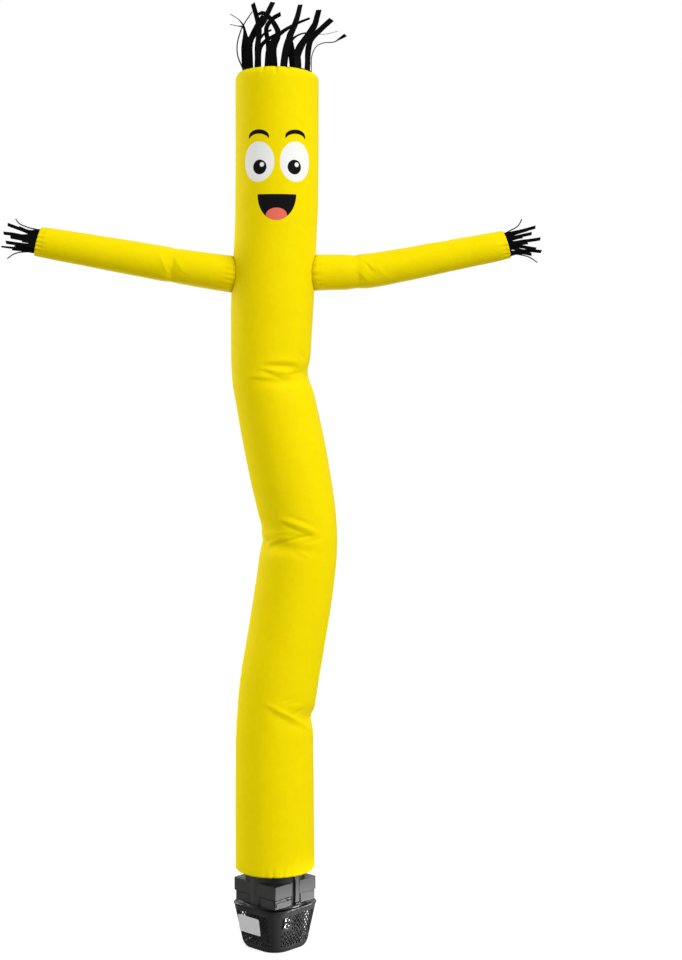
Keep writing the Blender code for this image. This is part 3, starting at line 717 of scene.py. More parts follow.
BOX_PLASTIC = moulded_plastic("grey_box_plastic", (0.019,) * 3, (0.07,) * 3, 0.38)
for row in BOX_ROWS:
    upper = box_outline(0.0, 0.0, 0.0)
    lower = box_outline(row.inset, row.left_end, row.right_end)
    sunk = box_outline(row.inset + BOX_GROOVE_DEPTH, row.left_end, row.right_end)
    levels = [
        (lower, BOX_BOTTOM),
        (lower, BOX_GROOVE[0]),
        (sunk, BOX_GROOVE[0]),
        (sunk, BOX_GROOVE[1]),
        (lower, BOX_GROOVE[1]),
        (lower, BOX_STEP),
        (upper, BOX_STEP),
        (upper, BOX_TOP),
    ]
    shape = bmesh.new()
    loft(shape, [lifted(*level) for level in levels])
    onto_corner = Matrix.Rotation(math.radians(row.turn), 4, "Z")
    bmesh.ops.transform(shape, matrix=onto_corner, verts=shape.verts)
    for block in FRONT_BOX_PLATES if row.side == "front" else ():
        wall = face_frame(block.side_turn, BOX_HALF - block.inset)
        low, high = (block.left, block.low, BLOCK_ROOT), (block.right, block.high, block.proud)
        add_block(shape, wall, low, high)
    name = "corner_box_" + row.side
    box = add_piece("grey_" + name, shape, BOX_PLASTIC, [name], sharp=None)
    round_edges(box, BOX_EDGE)


# Latch: a moulded strap in the middle of the right-front side clips the duct down. Its tab
# hooks under the flange, and a small roller at its foot bears on the lid's collar.
STRAP_WIDTH = 0.011
STRAP_TAB_WIDTH = 0.016
STRAP_TAB_HEIGHT = 0.008
STRAP_BOTTOM = 0.0950
STRAP_TOP = 0.1507
STRAP_INNER = 0.0579
STRAP_OUTER = 0.0603
STRAP_SLOPE = 0.002
STRAP_EDGE = 0.0003
STRAP_RIB = 0.0006
STRAP_RIB_ROOT = 0.0004
STRAP_RIB_ENDS = (0.002, 0.004)
ROLLER_RADIUS = 0.0027
ROLLER_LENGTH = 0.013
ROLLER_HEIGHT = 0.0920
ROLLER_OUT = 0.0603
ROLLER_STEPS = 32

wall = face_frame(RIGHT_FRONT, 0.0)
half, tab = STRAP_WIDTH / 2, STRAP_TAB_WIDTH / 2
shoulder = STRAP_TOP - STRAP_TAB_HEIGHT
outline = (
    (-half, STRAP_BOTTOM),
    (half, STRAP_BOTTOM),
    (half, shoulder - STRAP_SLOPE),
    (tab, shoulder),
    (tab, STRAP_TOP),
    (-tab, STRAP_TOP),
    (-tab, shoulder),
    (-half, shoulder - STRAP_SLOPE),
)
shape = bmesh.new()
loft(shape, [lifted(outline, out) for out in (STRAP_INNER, STRAP_OUTER)])
for left in (-half, half - STRAP_RIB):
    low = (left, STRAP_BOTTOM + STRAP_RIB_ENDS[0], STRAP_OUTER - STRAP_RIB_ROOT)
    high = (left + STRAP_RIB, shoulder - STRAP_RIB_ENDS[1], STRAP_OUTER + STRAP_RIB)
    add_block(shape, Matrix.Identity(4), low, high)
strap = add_piece(
    "moulded_latch_strap", shape, BOX_PLASTIC, ["latch_strap"], sharp=None, at=wall
)
round_edges(strap, STRAP_EDGE)

# The roller is turned about Z, with a waist, and then laid level along the wall.
ROLLER_SHARES = (
    (0.86, -0.5), (1.0, -0.46), (1.0, -0.16), (0.8, -0.14), (0.8, 0.14), (1.0, 0.16), (1.0, 0.46), (0.86, 0.5)
)
shape = bmesh.new()
rows = [TurnRow(share * ROLLER_RADIUS, place * ROLLER_LENGTH) for share, place in ROLLER_SHARES]
loft(shape, turned_rings(rows, ROLLER_STEPS))
laid = Matrix(((0, 0, 1, 0), (1, 0, 0, ROLLER_HEIGHT), (0, 1, 0, ROLLER_OUT), (0, 0, 0, 1)))
add_piece("turned_latch_roller", shape, BOX_PLASTIC, ["latch_roller"], at=wall @ laid)


# Motor, fan and cap: a steel motor on three spokes in the duct drives a moulded fan, whose
# hub carries a white cap. They lie deep inside, so they keep their plain solids.
steel, tree = new_material("motor_steel", {"Metallic": 1.0})
spot = add_node(tree, "TexCoord").outputs["Object"]
stretched = add_node(tree, "Mapping", {"Vector": spot, "Scale": (60.0, 60.0, 2600.0)}).outputs[0]
brushed = cloudy(tree, 1.0, 3.0, stretched)
grey = blend_colours(tree, brushed, (0.28, 0.28, 0.29, 1), (0.42, 0.42, 0.43, 1))
rough = maths(tree, "MULTIPLY_ADD", brushed, 0.25, 0.25)
finish_surface(tree, grey, rough, brushed, strength=0.2, distance=0.00005)
FAN_PLASTIC = moulded_plastic("fan_plastic", (0.012,) * 3, (0.05,) * 3, 0.4)
CAP_PLASTIC = moulded_plastic("white_cap_plastic", (0.82, 0.82, 0.81), (0.7, 0.7, 0.69), 0.3, edge_wear_and_highlight=0.2)
for node, finish in (("motor_mount", steel), ("fan_rotor", FAN_PLASTIC), ("fan_cap", CAP_PLASTIC)):
    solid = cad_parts[node]
    if not solid.material_slots:
        solid.data.materials.append(None)
    for holder in solid.material_slots:
        holder.material = finish


# Label: a bare self-adhesive plate of silver film on the left-front wall, with rounded
# corners and a thin raised margin.
LABEL_THICKNESS = 0.0006
LABEL_CORNER = 0.003
LABEL_CORNER_STEPS = 8
LABEL_MARGIN = 0.0012
LABEL_EDGE = 0.0002


def rounded_rectangle(width, height, corner):
    outline = []
    centres = ((1, 1), (-1, 1), (-1, -1), (1, -1))
    for quarter, (side_x, side_y) in enumerate(centres):
        for index in range(LABEL_CORNER_STEPS + 1):
            turn = (quarter + index / LABEL_CORNER_STEPS) * math.pi / 2
            x = side_x * (width / 2 - corner) + corner * math.cos(turn)
            y = side_y * (height / 2 - corner) + corner * math.sin(turn)
            outline.append((x, y))
    return outline


film, tree = new_material("silver_label_film", {"Metallic": 0.25})
cloud, grain = cloudy(tree, 90.0, 5.0), cloudy(tree, 2400.0, 2.0)
silver = blend_colours(tree, cloud, (0.66, 0.66, 0.67, 1), (0.76, 0.76, 0.77, 1))
rough = maths(tree, "MULTIPLY_ADD", cloud, 0.18, 0.30)
finish_surface(tree, silver, rough, grain, strength=0.25, distance=0.00004)
shape = bmesh.new()
rings = []
for inset, height in (
    (0.0, 0.0),
    (0.0, LABEL_THICKNESS * 0.7),
    (LABEL_EDGE, LABEL_THICKNESS),
    (LABEL_MARGIN, LABEL_THICKNESS),
    (LABEL_MARGIN + LABEL_EDGE, LABEL_THICKNESS * 0.75),
):
    outline = rounded_rectangle(LABEL_WIDTH - 2 * inset, LABEL_HEIGHT - 2 * inset, LABEL_CORNER - inset)
    rings.append(lifted(outline, height))
loft(shape, rings)
place = wall_matrix(LEFT_FRONT, LABEL_ACROSS, LABEL_CENTRE, GAP)
add_piece("bare_label", shape, film, ["label_plate"], at=place)


# Switches: two miniature rocker switches, one over the other, snapped into the right-front
# wall. Each black case has a raised bezel round a pocket, and a hinged rocker with a white
# patch near each end: a painted highlight on the left flat, and a printed mark on the right.
SWITCH_PROUD = 0.0012
SWITCH_DEPTH = 0.0100
BEZEL_EDGE = 0.0004
POCKET_WIDTH = 0.0136
POCKET_HEIGHT = 0.0074
POCKET_DEPTH = 0.0086
ROCKER_RADIUS = 0.0062
ROCKER_THICKNESS = 0.0064
ROCKER_PIVOT = -0.0004
ROCKER_REST_TILT = math.radians(9)
ROCKER_VEE = math.radians(14)
ROCKER_ARC_STEPS = 24
ROCKER_VEE_DEPTH = 0.0007
SWITCH_ROUNDING = 0.0002
ROCKER_ROUNDING = 0.0003
PATCH_PROUD = 0.00008
PATCH_ROOT = 0.0003
PATCH_OUT = 0.0046
PATCH_LEVEL = 0.00072
PATCH_HALVES = {-1: (0.0014, 0.0020), 1: (0.0009, 0.0013)}

CASE_PLASTIC = moulded_plastic("switch_case_plastic", (0.012,) * 3, (0.05,) * 3, 0.3)
ROCKER_PLASTIC = moulded_plastic("rocker_plastic", (0.02,) * 3, (0.07,) * 3, 0.22)
# White paint for the rocker's left patch, a painted highlight, and for its right mark.
HIGHLIGHT_AND_MARK_PAINT = moulded_plastic("white_highlight_and_mark_paint", (0.85,) * 3, (0.6,) * 3, 0.4, edge_wear_and_highlight=0.3)


def rectangle(width, height, at):
    x, y = width / 2, height / 2
    return [(-x, -y, at), (x, -y, at), (x, y, at), (-x, y, at)]


def rocker_outline():
    """The rocker from above: two front flats in a shallow vee, and a round back."""
    right = ROCKER_VEE + ROCKER_REST_TILT
    left = math.pi - ROCKER_VEE + ROCKER_REST_TILT
    outline = []
    for index in range(ROCKER_ARC_STEPS + 1):
        turn = left + (2 * math.pi + right - left) * index / ROCKER_ARC_STEPS
        outline.append((ROCKER_RADIUS * math.cos(turn), ROCKER_RADIUS * math.sin(turn)))
    middle = math.pi / 2 + ROCKER_REST_TILT
    outline.append((ROCKER_VEE_DEPTH * math.cos(middle), ROCKER_VEE_DEPTH * math.sin(middle)))
    return outline


def add_highlight_and_mark(shape, pivot):
    """A white patch on the rocker's left flat, which is a painted highlight, and a smaller printed mark on
    its right one.
    """
    for side, (half_width, half_height) in PATCH_HALVES.items():
        flat = ROCKER_REST_TILT + side * ROCKER_VEE
        outward = Matrix.Translation((side * PATCH_OUT, 0, PATCH_LEVEL))
        lean = Matrix.Rotation(-flat, 4, "Y") @ outward
        low, high = (-half_width, -half_height, -PATCH_ROOT), (half_width, half_height, PATCH_PROUD)
        add_block(shape, pivot @ lean, low, high)


for name, row in (("upper", 1), ("lower", -1)):
    place = wall_matrix(RIGHT_FRONT, SWITCH_ACROSS, SWITCH_CENTRE + row * SWITCH_PITCH / 2)
    shape = bmesh.new()
    rings = [
        rectangle(SWITCH_WIDTH, SWITCH_HEIGHT, -SWITCH_DEPTH),
        rectangle(SWITCH_WIDTH, SWITCH_HEIGHT, SWITCH_PROUD - BEZEL_EDGE),
        rectangle(SWITCH_WIDTH - 2 * BEZEL_EDGE, SWITCH_HEIGHT - 2 * BEZEL_EDGE, SWITCH_PROUD),
        rectangle(POCKET_WIDTH + 2 * BEZEL_EDGE, POCKET_HEIGHT + 2 * BEZEL_EDGE, SWITCH_PROUD),
        rectangle(POCKET_WIDTH, POCKET_HEIGHT, SWITCH_PROUD - BEZEL_EDGE),
        rectangle(POCKET_WIDTH, POCKET_HEIGHT, -POCKET_DEPTH),
    ]
    loft(shape, rings)
    case = add_piece(
        "bezelled_case_" + name,
        shape,
        CASE_PLASTIC,
        ["switch_case_" + name],
        sharp=None,
        at=place,
    )
    round_edges(case, SWITCH_ROUNDING)

    pivot = place @ Matrix.Translation((0, 0, ROCKER_PIVOT))
    shape = bmesh.new()
    outline = rocker_outline()
    loft(shape, [[(x, y, z) for x, z in outline] for y in (-ROCKER_THICKNESS / 2, ROCKER_THICKNESS / 2)])
    rocker = add_piece(
        "tilting_rocker_" + name,
        shape,
        ROCKER_PLASTIC,
        ["rocker_" + name],
        body=name + "_rocker",
        sharp=None,
        at=pivot,
    )
    round_edges(rocker, ROCKER_ROUNDING)
    shape = bmesh.new()
    add_highlight_and_mark(shape, pivot)
    add_piece(
        "rocker_highlight_and_mark_" + name, shape, HIGHLIGHT_AND_MARK_PAINT, ["rocker_" + name], body=name + "_rocker"
    )


# Power inlet: a small arched socket of black plastic near the foot of the right-front wall,
# with a round hole and a brass pin in it.
INLET_PROUD = 0.0006
INLET_BACK = -0.006
INLET_HOLE_RADIUS = 0.0028
INLET_HOLE_DEPTH = -0.0045
INLET_MOUTH_RADIUS = 0.0032
INLET_MOUTH_DEPTH = 0.0002
INLET_EDGE = 0.0003
INLET_PIN_RADIUS = 0.0006
INLET_STEPS = 48


def inlet_edge(turn, radius):
    """Point of the arch in a direction from its middle: round above, square below."""
    x, y = math.cos(turn), math.sin(turn)
    scale = radius if y >= 0 else radius / max(abs(x), abs(y))
    return x * scale, y * scale


turns = [2 * math.pi * (index + 0.5) / INLET_STEPS for index in range(INLET_STEPS)]
shape = bmesh.new()
rings = []
for inset, depth in ((0.0, INLET_BACK), (0.0, INLET_PROUD - INLET_EDGE), (INLET_EDGE, INLET_PROUD)):
    rings.append([(*inlet_edge(turn, INLET_WIDTH / 2 - inset), depth) for turn in turns])
rings.append(circle(INLET_MOUTH_RADIUS, INLET_PROUD, turns))
rings.append(circle(INLET_HOLE_RADIUS, INLET_MOUTH_DEPTH, turns))
rings.append(circle(INLET_HOLE_RADIUS, INLET_HOLE_DEPTH, turns))
loft(shape, rings)
add_piece("arched_power_inlet", shape, CASE_PLASTIC, ["power_inlet"], at=INLET_FRAME)
brass, tree = new_material("pin_brass", {"Metallic": 1.0})
worn = add_node(tree, "TexNoise", {"Scale": 900.0, "Detail": 3.0}).outputs[0]
gold = blend_colours(tree, worn, (0.62, 0.45, 0.16, 1), (0.78, 0.62, 0.30, 1))
rough = maths(tree, "MULTIPLY_ADD", worn, 0.3, 0.15)
feed(tree.nodes["Principled BSDF"], {"Base Color": gold, "Roughness": rough})
shape = bmesh.new()
pin_rows = ((1.0, INLET_HOLE_DEPTH), (1.0, -0.0014), (0.6, -0.0010))
loft(shape, [circle(share * INLET_PIN_RADIUS, depth, turns[::3]) for share, depth in pin_rows])
add_piece("inlet_pin", shape, brass, ["power_inlet"], at=INLET_FRAME)


# Body tube: one tube of yellow coated nylon, blown up. Its hem is turned in under the flange,
# its top is drawn in to the open vent, and a lap seam runs down the back. It creases sharply
# at its three bends, and a plain face is printed on it.
CLOTH = 0.001
TUBE_SEGMENTS = 144
ROLL_STEPS = 12
# Rings stand a fine step apart up to a calm distance from a crease, and reach the coarse
# step over a further margin.
GradeRow = namedtuple("GradeRow", "fine coarse calm margin")
TUBE_GRADE = GradeRow(0.0025, 0.0105, 0.015, 0.030)
HEM_EDGE = 0.1488
HEM_FULL = 0.1545
HEM_RADIUS = 0.0660
SHOULDER_FULL = 1.6530
VENT_EDGE = 1.6730
VENT_RADIUS = 0.0675
PRINT_RADIUS = 0.078
BACK_SEAM = math.radians(90)
ARM_HOLE_RADIUS = 0.0290
TubeRow = namedtuple("TubeRow", "height centre diameter")
TUBE_ROWS = table(
    TubeRow,
    (0.140, 0.0000, 0.1528),
    (0.326, 0.0000, 0.1518),
    (0.408, -0.0004, 0.1506),
    (0.457, 0.0024, 0.1506),
    (0.533, 0.0118, 0.1530),
    (0.595, 0.0227, 0.1525),
    (0.676, 0.0354, 0.1512),
    (0.766, 0.0460, 0.1490),
    (0.835, 0.0437, 0.1492),
    (0.901, 0.0325, 0.1545),
    (0.987, 0.0166, 0.1560),
    (1.046, 0.0050, 0.1530),
    (1.086, -0.0022, 0.1518),
    (1.131, -0.0052, 0.1512),
    (1.169, -0.0046, 0.1530),
    (1.245, -0.0021, 0.1572),
    (1.376, 0.0045, 0.1552),
    (1.433, 0.0065, 0.1568),
    (1.680, 0.0075, 0.1562),
)
# The broad pinch of each bend: azimuth 0 is +X and -90 the front.
FoldRow = namedtuple("FoldRow", "height azimuth half_angle depth half_height rise")
FOLD_ROWS = table(
    FoldRow,
    (1.102, -20, 80, 0.0090, 0.0220, 0.006),
    (1.090, -75, 55, 0.0045, 0.0090, 0.004),
    (0.812, -160, 70, 0.0055, 0.0190, -0.004),
    (0.783, -160, 70, 0.0050, 0.0190, -0.004),
    (0.779, -120, 85, 0.0050, 0.0110, -0.008),
    (0.450, -25, 70, 0.0075, 0.0180, -0.012),
)
# Each crease runs through three places (azimuth in degrees, height), stands out or in by
# push, and fades over its own distances below and above.
CREASE_SHARPNESS = 1.25
CREASE_ENDS = 0.7
CreaseRow = namedtuple("CreaseRow", "start middle end push below above")
TUBE_CREASES = table(
    CreaseRow,
    # upper bend
    ((-104, 1.1195), (-80, 1.1203), (-38, 1.1150), -0.0044, 0.0080, 0.0040),
    ((-100, 1.1260), (-75, 1.1300), (-45, 1.1260), 0.0018, 0.0050, 0.0050),
    ((-108, 1.1160), (-85, 1.1110), (-50, 1.1060), 0.0022, 0.0040, 0.0030),
    ((-108, 1.1130), (-93, 1.1053), (-74, 1.0975), -0.0032, 0.0040, 0.0030),
    ((-128, 1.1005), (-112, 1.0985), (-95, 1.0955), 0.0020, 0.0035, 0.0050),
    ((-122, 1.0965), (-105, 1.0935), (-88, 1.0910), -0.0016, 0.0035, 0.0040),
    ((-46, 1.1460), (-36, 1.1380), (-28, 1.1310), -0.0025, 0.0060, 0.0060),
    ((-66, 1.1030), (-48, 1.1055), (-26, 1.1085), -0.0034, 0.0050, 0.0040),
    ((-20, 1.1220), (10, 1.1180), (48, 1.1240), -0.0008, 0.0060, 0.0040),
    ((-4, 1.1050), (30, 1.1010), (62, 1.1080), 0.0010, 0.0040, 0.0050),
    # middle bend
    ((-112, 0.8405), (-88, 0.8320), (-56, 0.8100), -0.0018, 0.0060, 0.0035),
    ((-122, 0.8335), (-95, 0.8240), (-58, 0.8045), 0.0026, 0.0040, 0.0060),
    ((-117, 0.8263), (-94.5, 0.8132), (-71, 0.8027), -0.0030, 0.0060, 0.0030),
    ((-125, 0.8050), (-98, 0.8020), (-70, 0.8005), -0.0026, 0.0080, 0.0080),
    ((-104, 0.7950), (-84, 0.7995), (-66, 0.8025), -0.0022, 0.0060, 0.0025),
    ((-150, 0.7780), (-110, 0.7915), (-66, 0.8035), -0.0045, 0.0120, 0.0030),
    ((-135, 0.7790), (-105, 0.7885), (-72, 0.7970), 0.0015, 0.0025, 0.0060),
    ((-140, 0.8060), (-122, 0.8065), (-103, 0.8067), 0.0012, 0.0040, 0.0040),
    ((-160, 0.7870), (-142, 0.7915), (-126, 0.7970), -0.0018, 0.0030, 0.0030),
    ((-158, 0.7830), (-140, 0.7870), (-120, 0.7950), 0.0010, 0.0030, 0.0030),
    ((-140, 0.7700), (-122, 0.7750), (-104, 0.7780), 0.0009, 0.0030, 0.0040),
    ((-88, 0.7850), (-72, 0.7910), (-56, 0.7960), -0.0016, 0.0030, 0.0050),
    ((-98, 0.7775), (-85, 0.7690), (-70, 0.7580), 0.0012, 0.0030, 0.0030),
    ((-94, 0.7660), (-87, 0.7620), (-78, 0.7585), -0.0008, 0.0030, 0.0030),
    ((-205, 0.7900), (-178, 0.7870), (-148, 0.7880), -0.0014, 0.0060, 0.0040),
    ((-198, 0.8010), (-172, 0.8030), (-150, 0.8000), 0.0008, 0.0050, 0.0040),
    # lower bend
    ((-112, 0.4878), (-80, 0.4670), (-25, 0.4262), 0.0034, 0.0045, 0.0035),
    ((-104, 0.4740), (-74, 0.4505), (-34, 0.4270), -0.0028, 0.0160, 0.0045),
    ((-90, 0.4880), (-75, 0.4915), (-60, 0.4945), -0.0012, 0.0035, 0.0035),
    ((-80, 0.4775), (-66, 0.4785), (-52, 0.4790), 0.0010, 0.0035, 0.0035),
    ((-80, 0.4825), (-68, 0.4845), (-52, 0.4855), -0.0010, 0.0030, 0.0030),
    ((-66, 0.4630), (-56, 0.4665), (-42, 0.4700), -0.0016, 0.0040, 0.0040),
    ((-74, 0.4670), (-60, 0.4715), (-46, 0.4745), 0.0012, 0.0035, 0.0035),
    ((-88, 0.4475), (-72, 0.4480), (-55, 0.4475), 0.0008, 0.0040, 0.0060),
    ((-22, 0.4440), (8, 0.4520), (44, 0.4460), -0.0012, 0.0060, 0.0045),
    ((-8, 0.4620), (22, 0.4690), (58, 0.4640), 0.0014, 0.0040, 0.0050),
    # a shallow ridge between the upper and the middle bend
    ((-99, 0.9405), (-84, 0.9465), (-68, 0.9500), 0.0007, 0.0050, 0.0050),
)
# Tucks gathered into the hems of the tube and the mouths of the sleeves, in degrees.
TuckRow = namedtuple("TuckRow", "azimuth depth half_angle")
# The three deepest vent tucks dip inside the black head band, which shows through them as dark notches that
# stand for their shade: painted shade.
VENT_TUCKS = table(
    TuckRow,
    (-137, 0.0020, 3),
    (-125, 0.0016, 4),
    (-110.5, 0.0040, 2.0),
    (-91.5, 0.0062, 2.0),
    (-74.4, 0.0060, 2.0),
    (-52, 0.0016, 2.5),
    (-31, 0.0040, 2.6),
    (-8, 0.0016, 4),
    (25, 0.0014, 5),
    (58, 0.0011, 3),
    (112, 0.0014, 4),
    (150, 0.0012, 4),
    (186, 0.0012, 5),
)
HEM_TUCKS = table(
    TuckRow,
    (-148, 0.0012, 4),
    (-104, 0.0012, 2.5),
    (-93, 0.0018, 2.2),
    (-78, 0.0016, 2.5),
    (-66, 0.0014, 2.5),
    (-36, 0.0014, 3),
    (-14, 0.0010, 4),
    (30, 0.0011, 4),
    (70, 0.0009, 4),
    (120, 0.0011, 4),
    (165, 0.0010, 4),
)
MOUTH_TUCKS = table(
    TuckRow,
    (-58, 0.0014, 7),
    (-78, 0.0020, 6),
    (-97, 0.0015, 6),
    (-113, 0.0020, 7),
    (-134, 0.0015, 7),
    (-30, 0.0012, 8),
    (12, 0.0014, 8),
    (48, 0.0016, 7),
    (86, 0.0018, 7),
    (128, 0.0014, 8),
    (168, 0.0014, 8),
)
# A sleeve's mouth edge itself stays round, so its tucks are deepest a little way in.
VENT_FADE = (0.0, 0.011)
HEM_FADE = (0.0, 0.014)
MOUTH_FADE = (0.0075, 0.0055)
FRONT_DENSITY = 0.35


def read_rows(rows, position, column):
    """Smooth values of a column, by cubic pieces whose slopes come from the neighbours."""
    places = np.array([row[0] for row in rows])
    values = np.array([getattr(row, column) for row in rows])
    slopes = np.gradient(values, places, edge_order=1)
    slopes[1:-1] = (values[2:] - values[:-2]) / (places[2:] - places[:-2])
    position = np.clip(position, places[0], places[-1])
    after = np.clip(np.searchsorted(places, position), 1, len(rows) - 1)
    before = after - 1
    span = places[after] - places[before]
    t = (position - places[before]) / span
    return (
        (2 * t**3 - 3 * t**2 + 1) * values[before]
        + (t**3 - 2 * t**2 + t) * span * slopes[before]
        + (3 * t**2 - 2 * t**3) * values[after]
        + (t**3 - t**2) * span * slopes[after]
    )


def tube_radius(height):
    """Outer radius of the tube, drawn in at the hem below and at the vent above."""
    radius = read_rows(TUBE_ROWS, height, "diameter") / 2
    low = np.clip((HEM_FULL - height) / (HEM_FULL - HEM_EDGE), 0, 1)
    high = np.clip((height - SHOULDER_FULL) / (VENT_EDGE - SHOULDER_FULL), 0, 1)
    end = np.where(height < HEM_FULL, HEM_RADIUS, VENT_RADIUS)
    return end + (radius - end) * np.sqrt(1 - low**2) * np.sqrt(1 - high**2)


def turned_apart(azimuth, other):
    """Difference of two azimuths in degrees, from -180 to 180."""
    return (azimuth - other + 180) % 360 - 180


def fold_push(azimuth, height):
    total = 0.0
    for fold in FOLD_ROWS:
        apart = turned_apart(azimuth, fold.azimuth)
        away = (height - fold.height - fold.rise * np.radians(apart)) / fold.half_height
        share = np.clip(np.abs(apart) / fold.half_angle, 0, 1)
        total = total - fold.depth * np.cos(np.pi / 2 * share) ** 2 * np.exp(-(away**2))
    return total


def crease_push(rows, turn, along):
    """How far the creases stand out of the cloth, by degrees round it and way along it."""
    total = np.zeros(np.broadcast(turn, along).shape)
    for row in rows:
        first, middle, last = row.start[0], row.middle[0], row.end[0]
        here = middle + turned_apart(turn, middle)
        t = np.clip((here - first) / (last - first), 0, 1)
        line = (
            row.start[1] * (here - middle) * (here - last) / ((first - middle) * (first - last))
            + row.middle[1] * (here - first) * (here - last) / ((middle - first) * (middle - last))
            + row.end[1] * (here - first) * (here - middle) / ((last - first) * (last - middle))
        )
        away = along - line
        width = np.where(away < 0, row.below, row.above)
        profile = np.exp(-np.abs(away / width) ** CREASE_SHARPNESS)
        total += row.push * np.sin(np.pi * t) ** CREASE_ENDS * profile
    return total


def tuck_push(rows, azimuth, from_edge, fade):
    total = 0.0
    for row in rows:
        share = turned_apart(azimuth, row.azimuth) / row.half_angle
        total = total - row.depth * np.exp(-(share**2))
    return total * np.exp(-(((from_edge - fade[0]) / fade[1]) ** 2))


def soft_swell(points, scale, seed):
    """Slow unevenness of blown-up cloth, from -1 to 1."""
    offset = Vector((seed, 2.7 * seed, 5.1 * seed))
    return np.array([noise.noise(Vector(point) * scale + offset) for point in points])


def graded_places(start, end, busy, grade):
    """Places from start to end that stand close together near the busy ones."""
    places = [start]
    while places[-1] < end:
        gap = min(abs(places[-1] - place) for place in busy)
        share = min(max((gap - grade.calm) / grade.margin, 0.0), 1.0)
        places.append(places[-1] + grade.fine + share * (grade.coarse - grade.fine))
    places[-1] = end
    return places


def crease_places(rows):
    return [place[1] for row in rows for place in (row.start, row.middle, row.end)]


def tube_heights():
    """Rings along the tube: close together at the creases, and round both hems."""
    heights = graded_places(HEM_FULL, SHOULDER_FULL, crease_places(TUBE_CREASES), TUBE_GRADE)
    quarter = [math.pi / 2 * step / ROLL_STEPS for step in range(1, ROLL_STEPS + 1)]
    below = [HEM_FULL - (HEM_FULL - HEM_EDGE) * math.sin(turn) for turn in quarter]
    above = [SHOULDER_FULL + (VENT_EDGE - SHOULDER_FULL) * math.sin(turn) for turn in quarter]
    return np.array(below[::-1] + heights + above)


def grid_sheet(name, points, across, along, finish, nodes, inside_out=False):
    """A sheet of cloth from a grid of points that closes round itself, with a map in metres.

    Its places across are one more than its columns.
    """
    rings, count = points.shape[:2]
    index = np.arange(rings * count).reshape(rings, count)
    right = np.roll(index, -1, axis=1)
    faces = np.stack([index[:-1], right[:-1], right[1:], index[1:]], axis=-1).reshape(-1, 4)
    left_side, low_side = np.meshgrid(across[:-1], along[:-1])
    right_side, high_side = np.meshgrid(across[1:], along[1:])
    corners_across = np.stack([left_side, right_side, right_side, left_side], axis=-1)
    corners_along = np.stack([low_side, low_side, high_side, high_side], axis=-1)
    flat_map = np.stack([corners_across, corners_along], axis=-1).reshape(-1, 4, 2)
    if inside_out:
        faces, flat_map = faces[:, ::-1], flat_map[:, ::-1]
    mesh = bpy.data.meshes.new(name)
    mesh.from_pydata(points.reshape(-1, 3).tolist(), [], faces.tolist())
    layer = mesh.uv_layers.new(name="cloth")
    layer.data.foreach_set("uv", flat_map.reshape(-1))
    mesh.materials.append(finish)
    mesh.shade_smooth()
    made = bpy.data.objects.new(name, mesh)
    bpy.context.scene.collection.objects.link(made)
    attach(made, "dancer")
    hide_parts(*nodes)
    return made


# The nylon: a plain weave with a soft crinkle that catches the light.
RIDGE_RELIEF = 0.9
WEAVE_RELIEF = 0.012
WEAVE_SHADE = 0.12
CRUMPLE_GLOSS = 0.14
STITCH_SHARE = 0.72
STITCH_RELIEF = 0.04
PRINT_SHARPNESS = 2200.0
woven_nylon, given, result = new_group(
    "woven_nylon",
    (
        ("Colour", "Color", (0.9, 0.7, 0.01, 1)),
        ("Deep Colour", "Color", (0.8, 0.6, 0.01, 1)),
        ("Threads A Metre", "Float", 2600.0),
        ("Crinkle", "Float", 1.0),
        ("Roughness", "Float", 0.45),
    ),
    (("Colour", "Color"), ("Roughness", "Float"), ("Height", "Float")),
)
spot = add_node(woven_nylon, "TexCoord").outputs["Object"]
flat = add_node(woven_nylon, "UVMap", uv_map="cloth").outputs[0]
split = add_node(woven_nylon, "SeparateXYZ", {0: flat})
threads = []
for axis in (0, 1):
    turns = maths(woven_nylon, "MULTIPLY", split.outputs[axis], given["Threads A Metre"])
    threads.append(maths(woven_nylon, "SINE", maths(woven_nylon, "MULTIPLY", turns, math.pi)))
weave = maths(woven_nylon, "MULTIPLY", *threads)
slow = cloudy(woven_nylon, 11.0, 2.0, spot)
crumpled = {"Vector": spot, "Scale": 46.0, "Detail": 5.0, "Roughness": 0.6, "Distortion": 0.8}
fine = add_node(woven_nylon, "TexNoise", crumpled).outputs[0]
ridged = maths(woven_nylon, "ABSOLUTE", maths(woven_nylon, "SUBTRACT", fine, 0.5))
crinkle = maths(woven_nylon, "MULTIPLY_ADD", ridged, -RIDGE_RELIEF, slow)
crinkle = maths(woven_nylon, "MULTIPLY", crinkle, given["Crinkle"])
height = maths(woven_nylon, "MULTIPLY_ADD", weave, WEAVE_RELIEF, crinkle)
deepen = maths(woven_nylon, "MULTIPLY_ADD", weave, WEAVE_SHADE, fine, clamp=True)
coloured = blend_colours(woven_nylon, deepen, given["Colour"], given["Deep Colour"])
gloss = varied(woven_nylon, given["Roughness"], fine, CRUMPLE_GLOSS)
feed(result, {"Colour": coloured, "Roughness": gloss, "Height": height})

# A row of stitches along a line of the cloth's map, as a mask of short dashes.
stitched_row, given, result = new_group(
    "stitched_row",
    (
        ("Across", "Float", 0.0),
        ("Along", "Float", 0.0),
        ("Line", "Float", 0.0),
        ("Stitch", "Float", 0.003),
        ("Half Width", "Float", 0.0004),
    ),
    (("Mask", "Float"),),
)
off = maths(stitched_row, "ABSOLUTE", maths(stitched_row, "SUBTRACT", given["Across"], given["Line"]))
near = maths(stitched_row, "LESS_THAN", off, given["Half Width"])
beat = maths(stitched_row, "FRACT", maths(stitched_row, "DIVIDE", given["Along"], given["Stitch"]))
dash = maths(stitched_row, "LESS_THAN", beat, STITCH_SHARE)
feed(result, {"Mask": maths(stitched_row, "MULTIPLY", near, dash)})

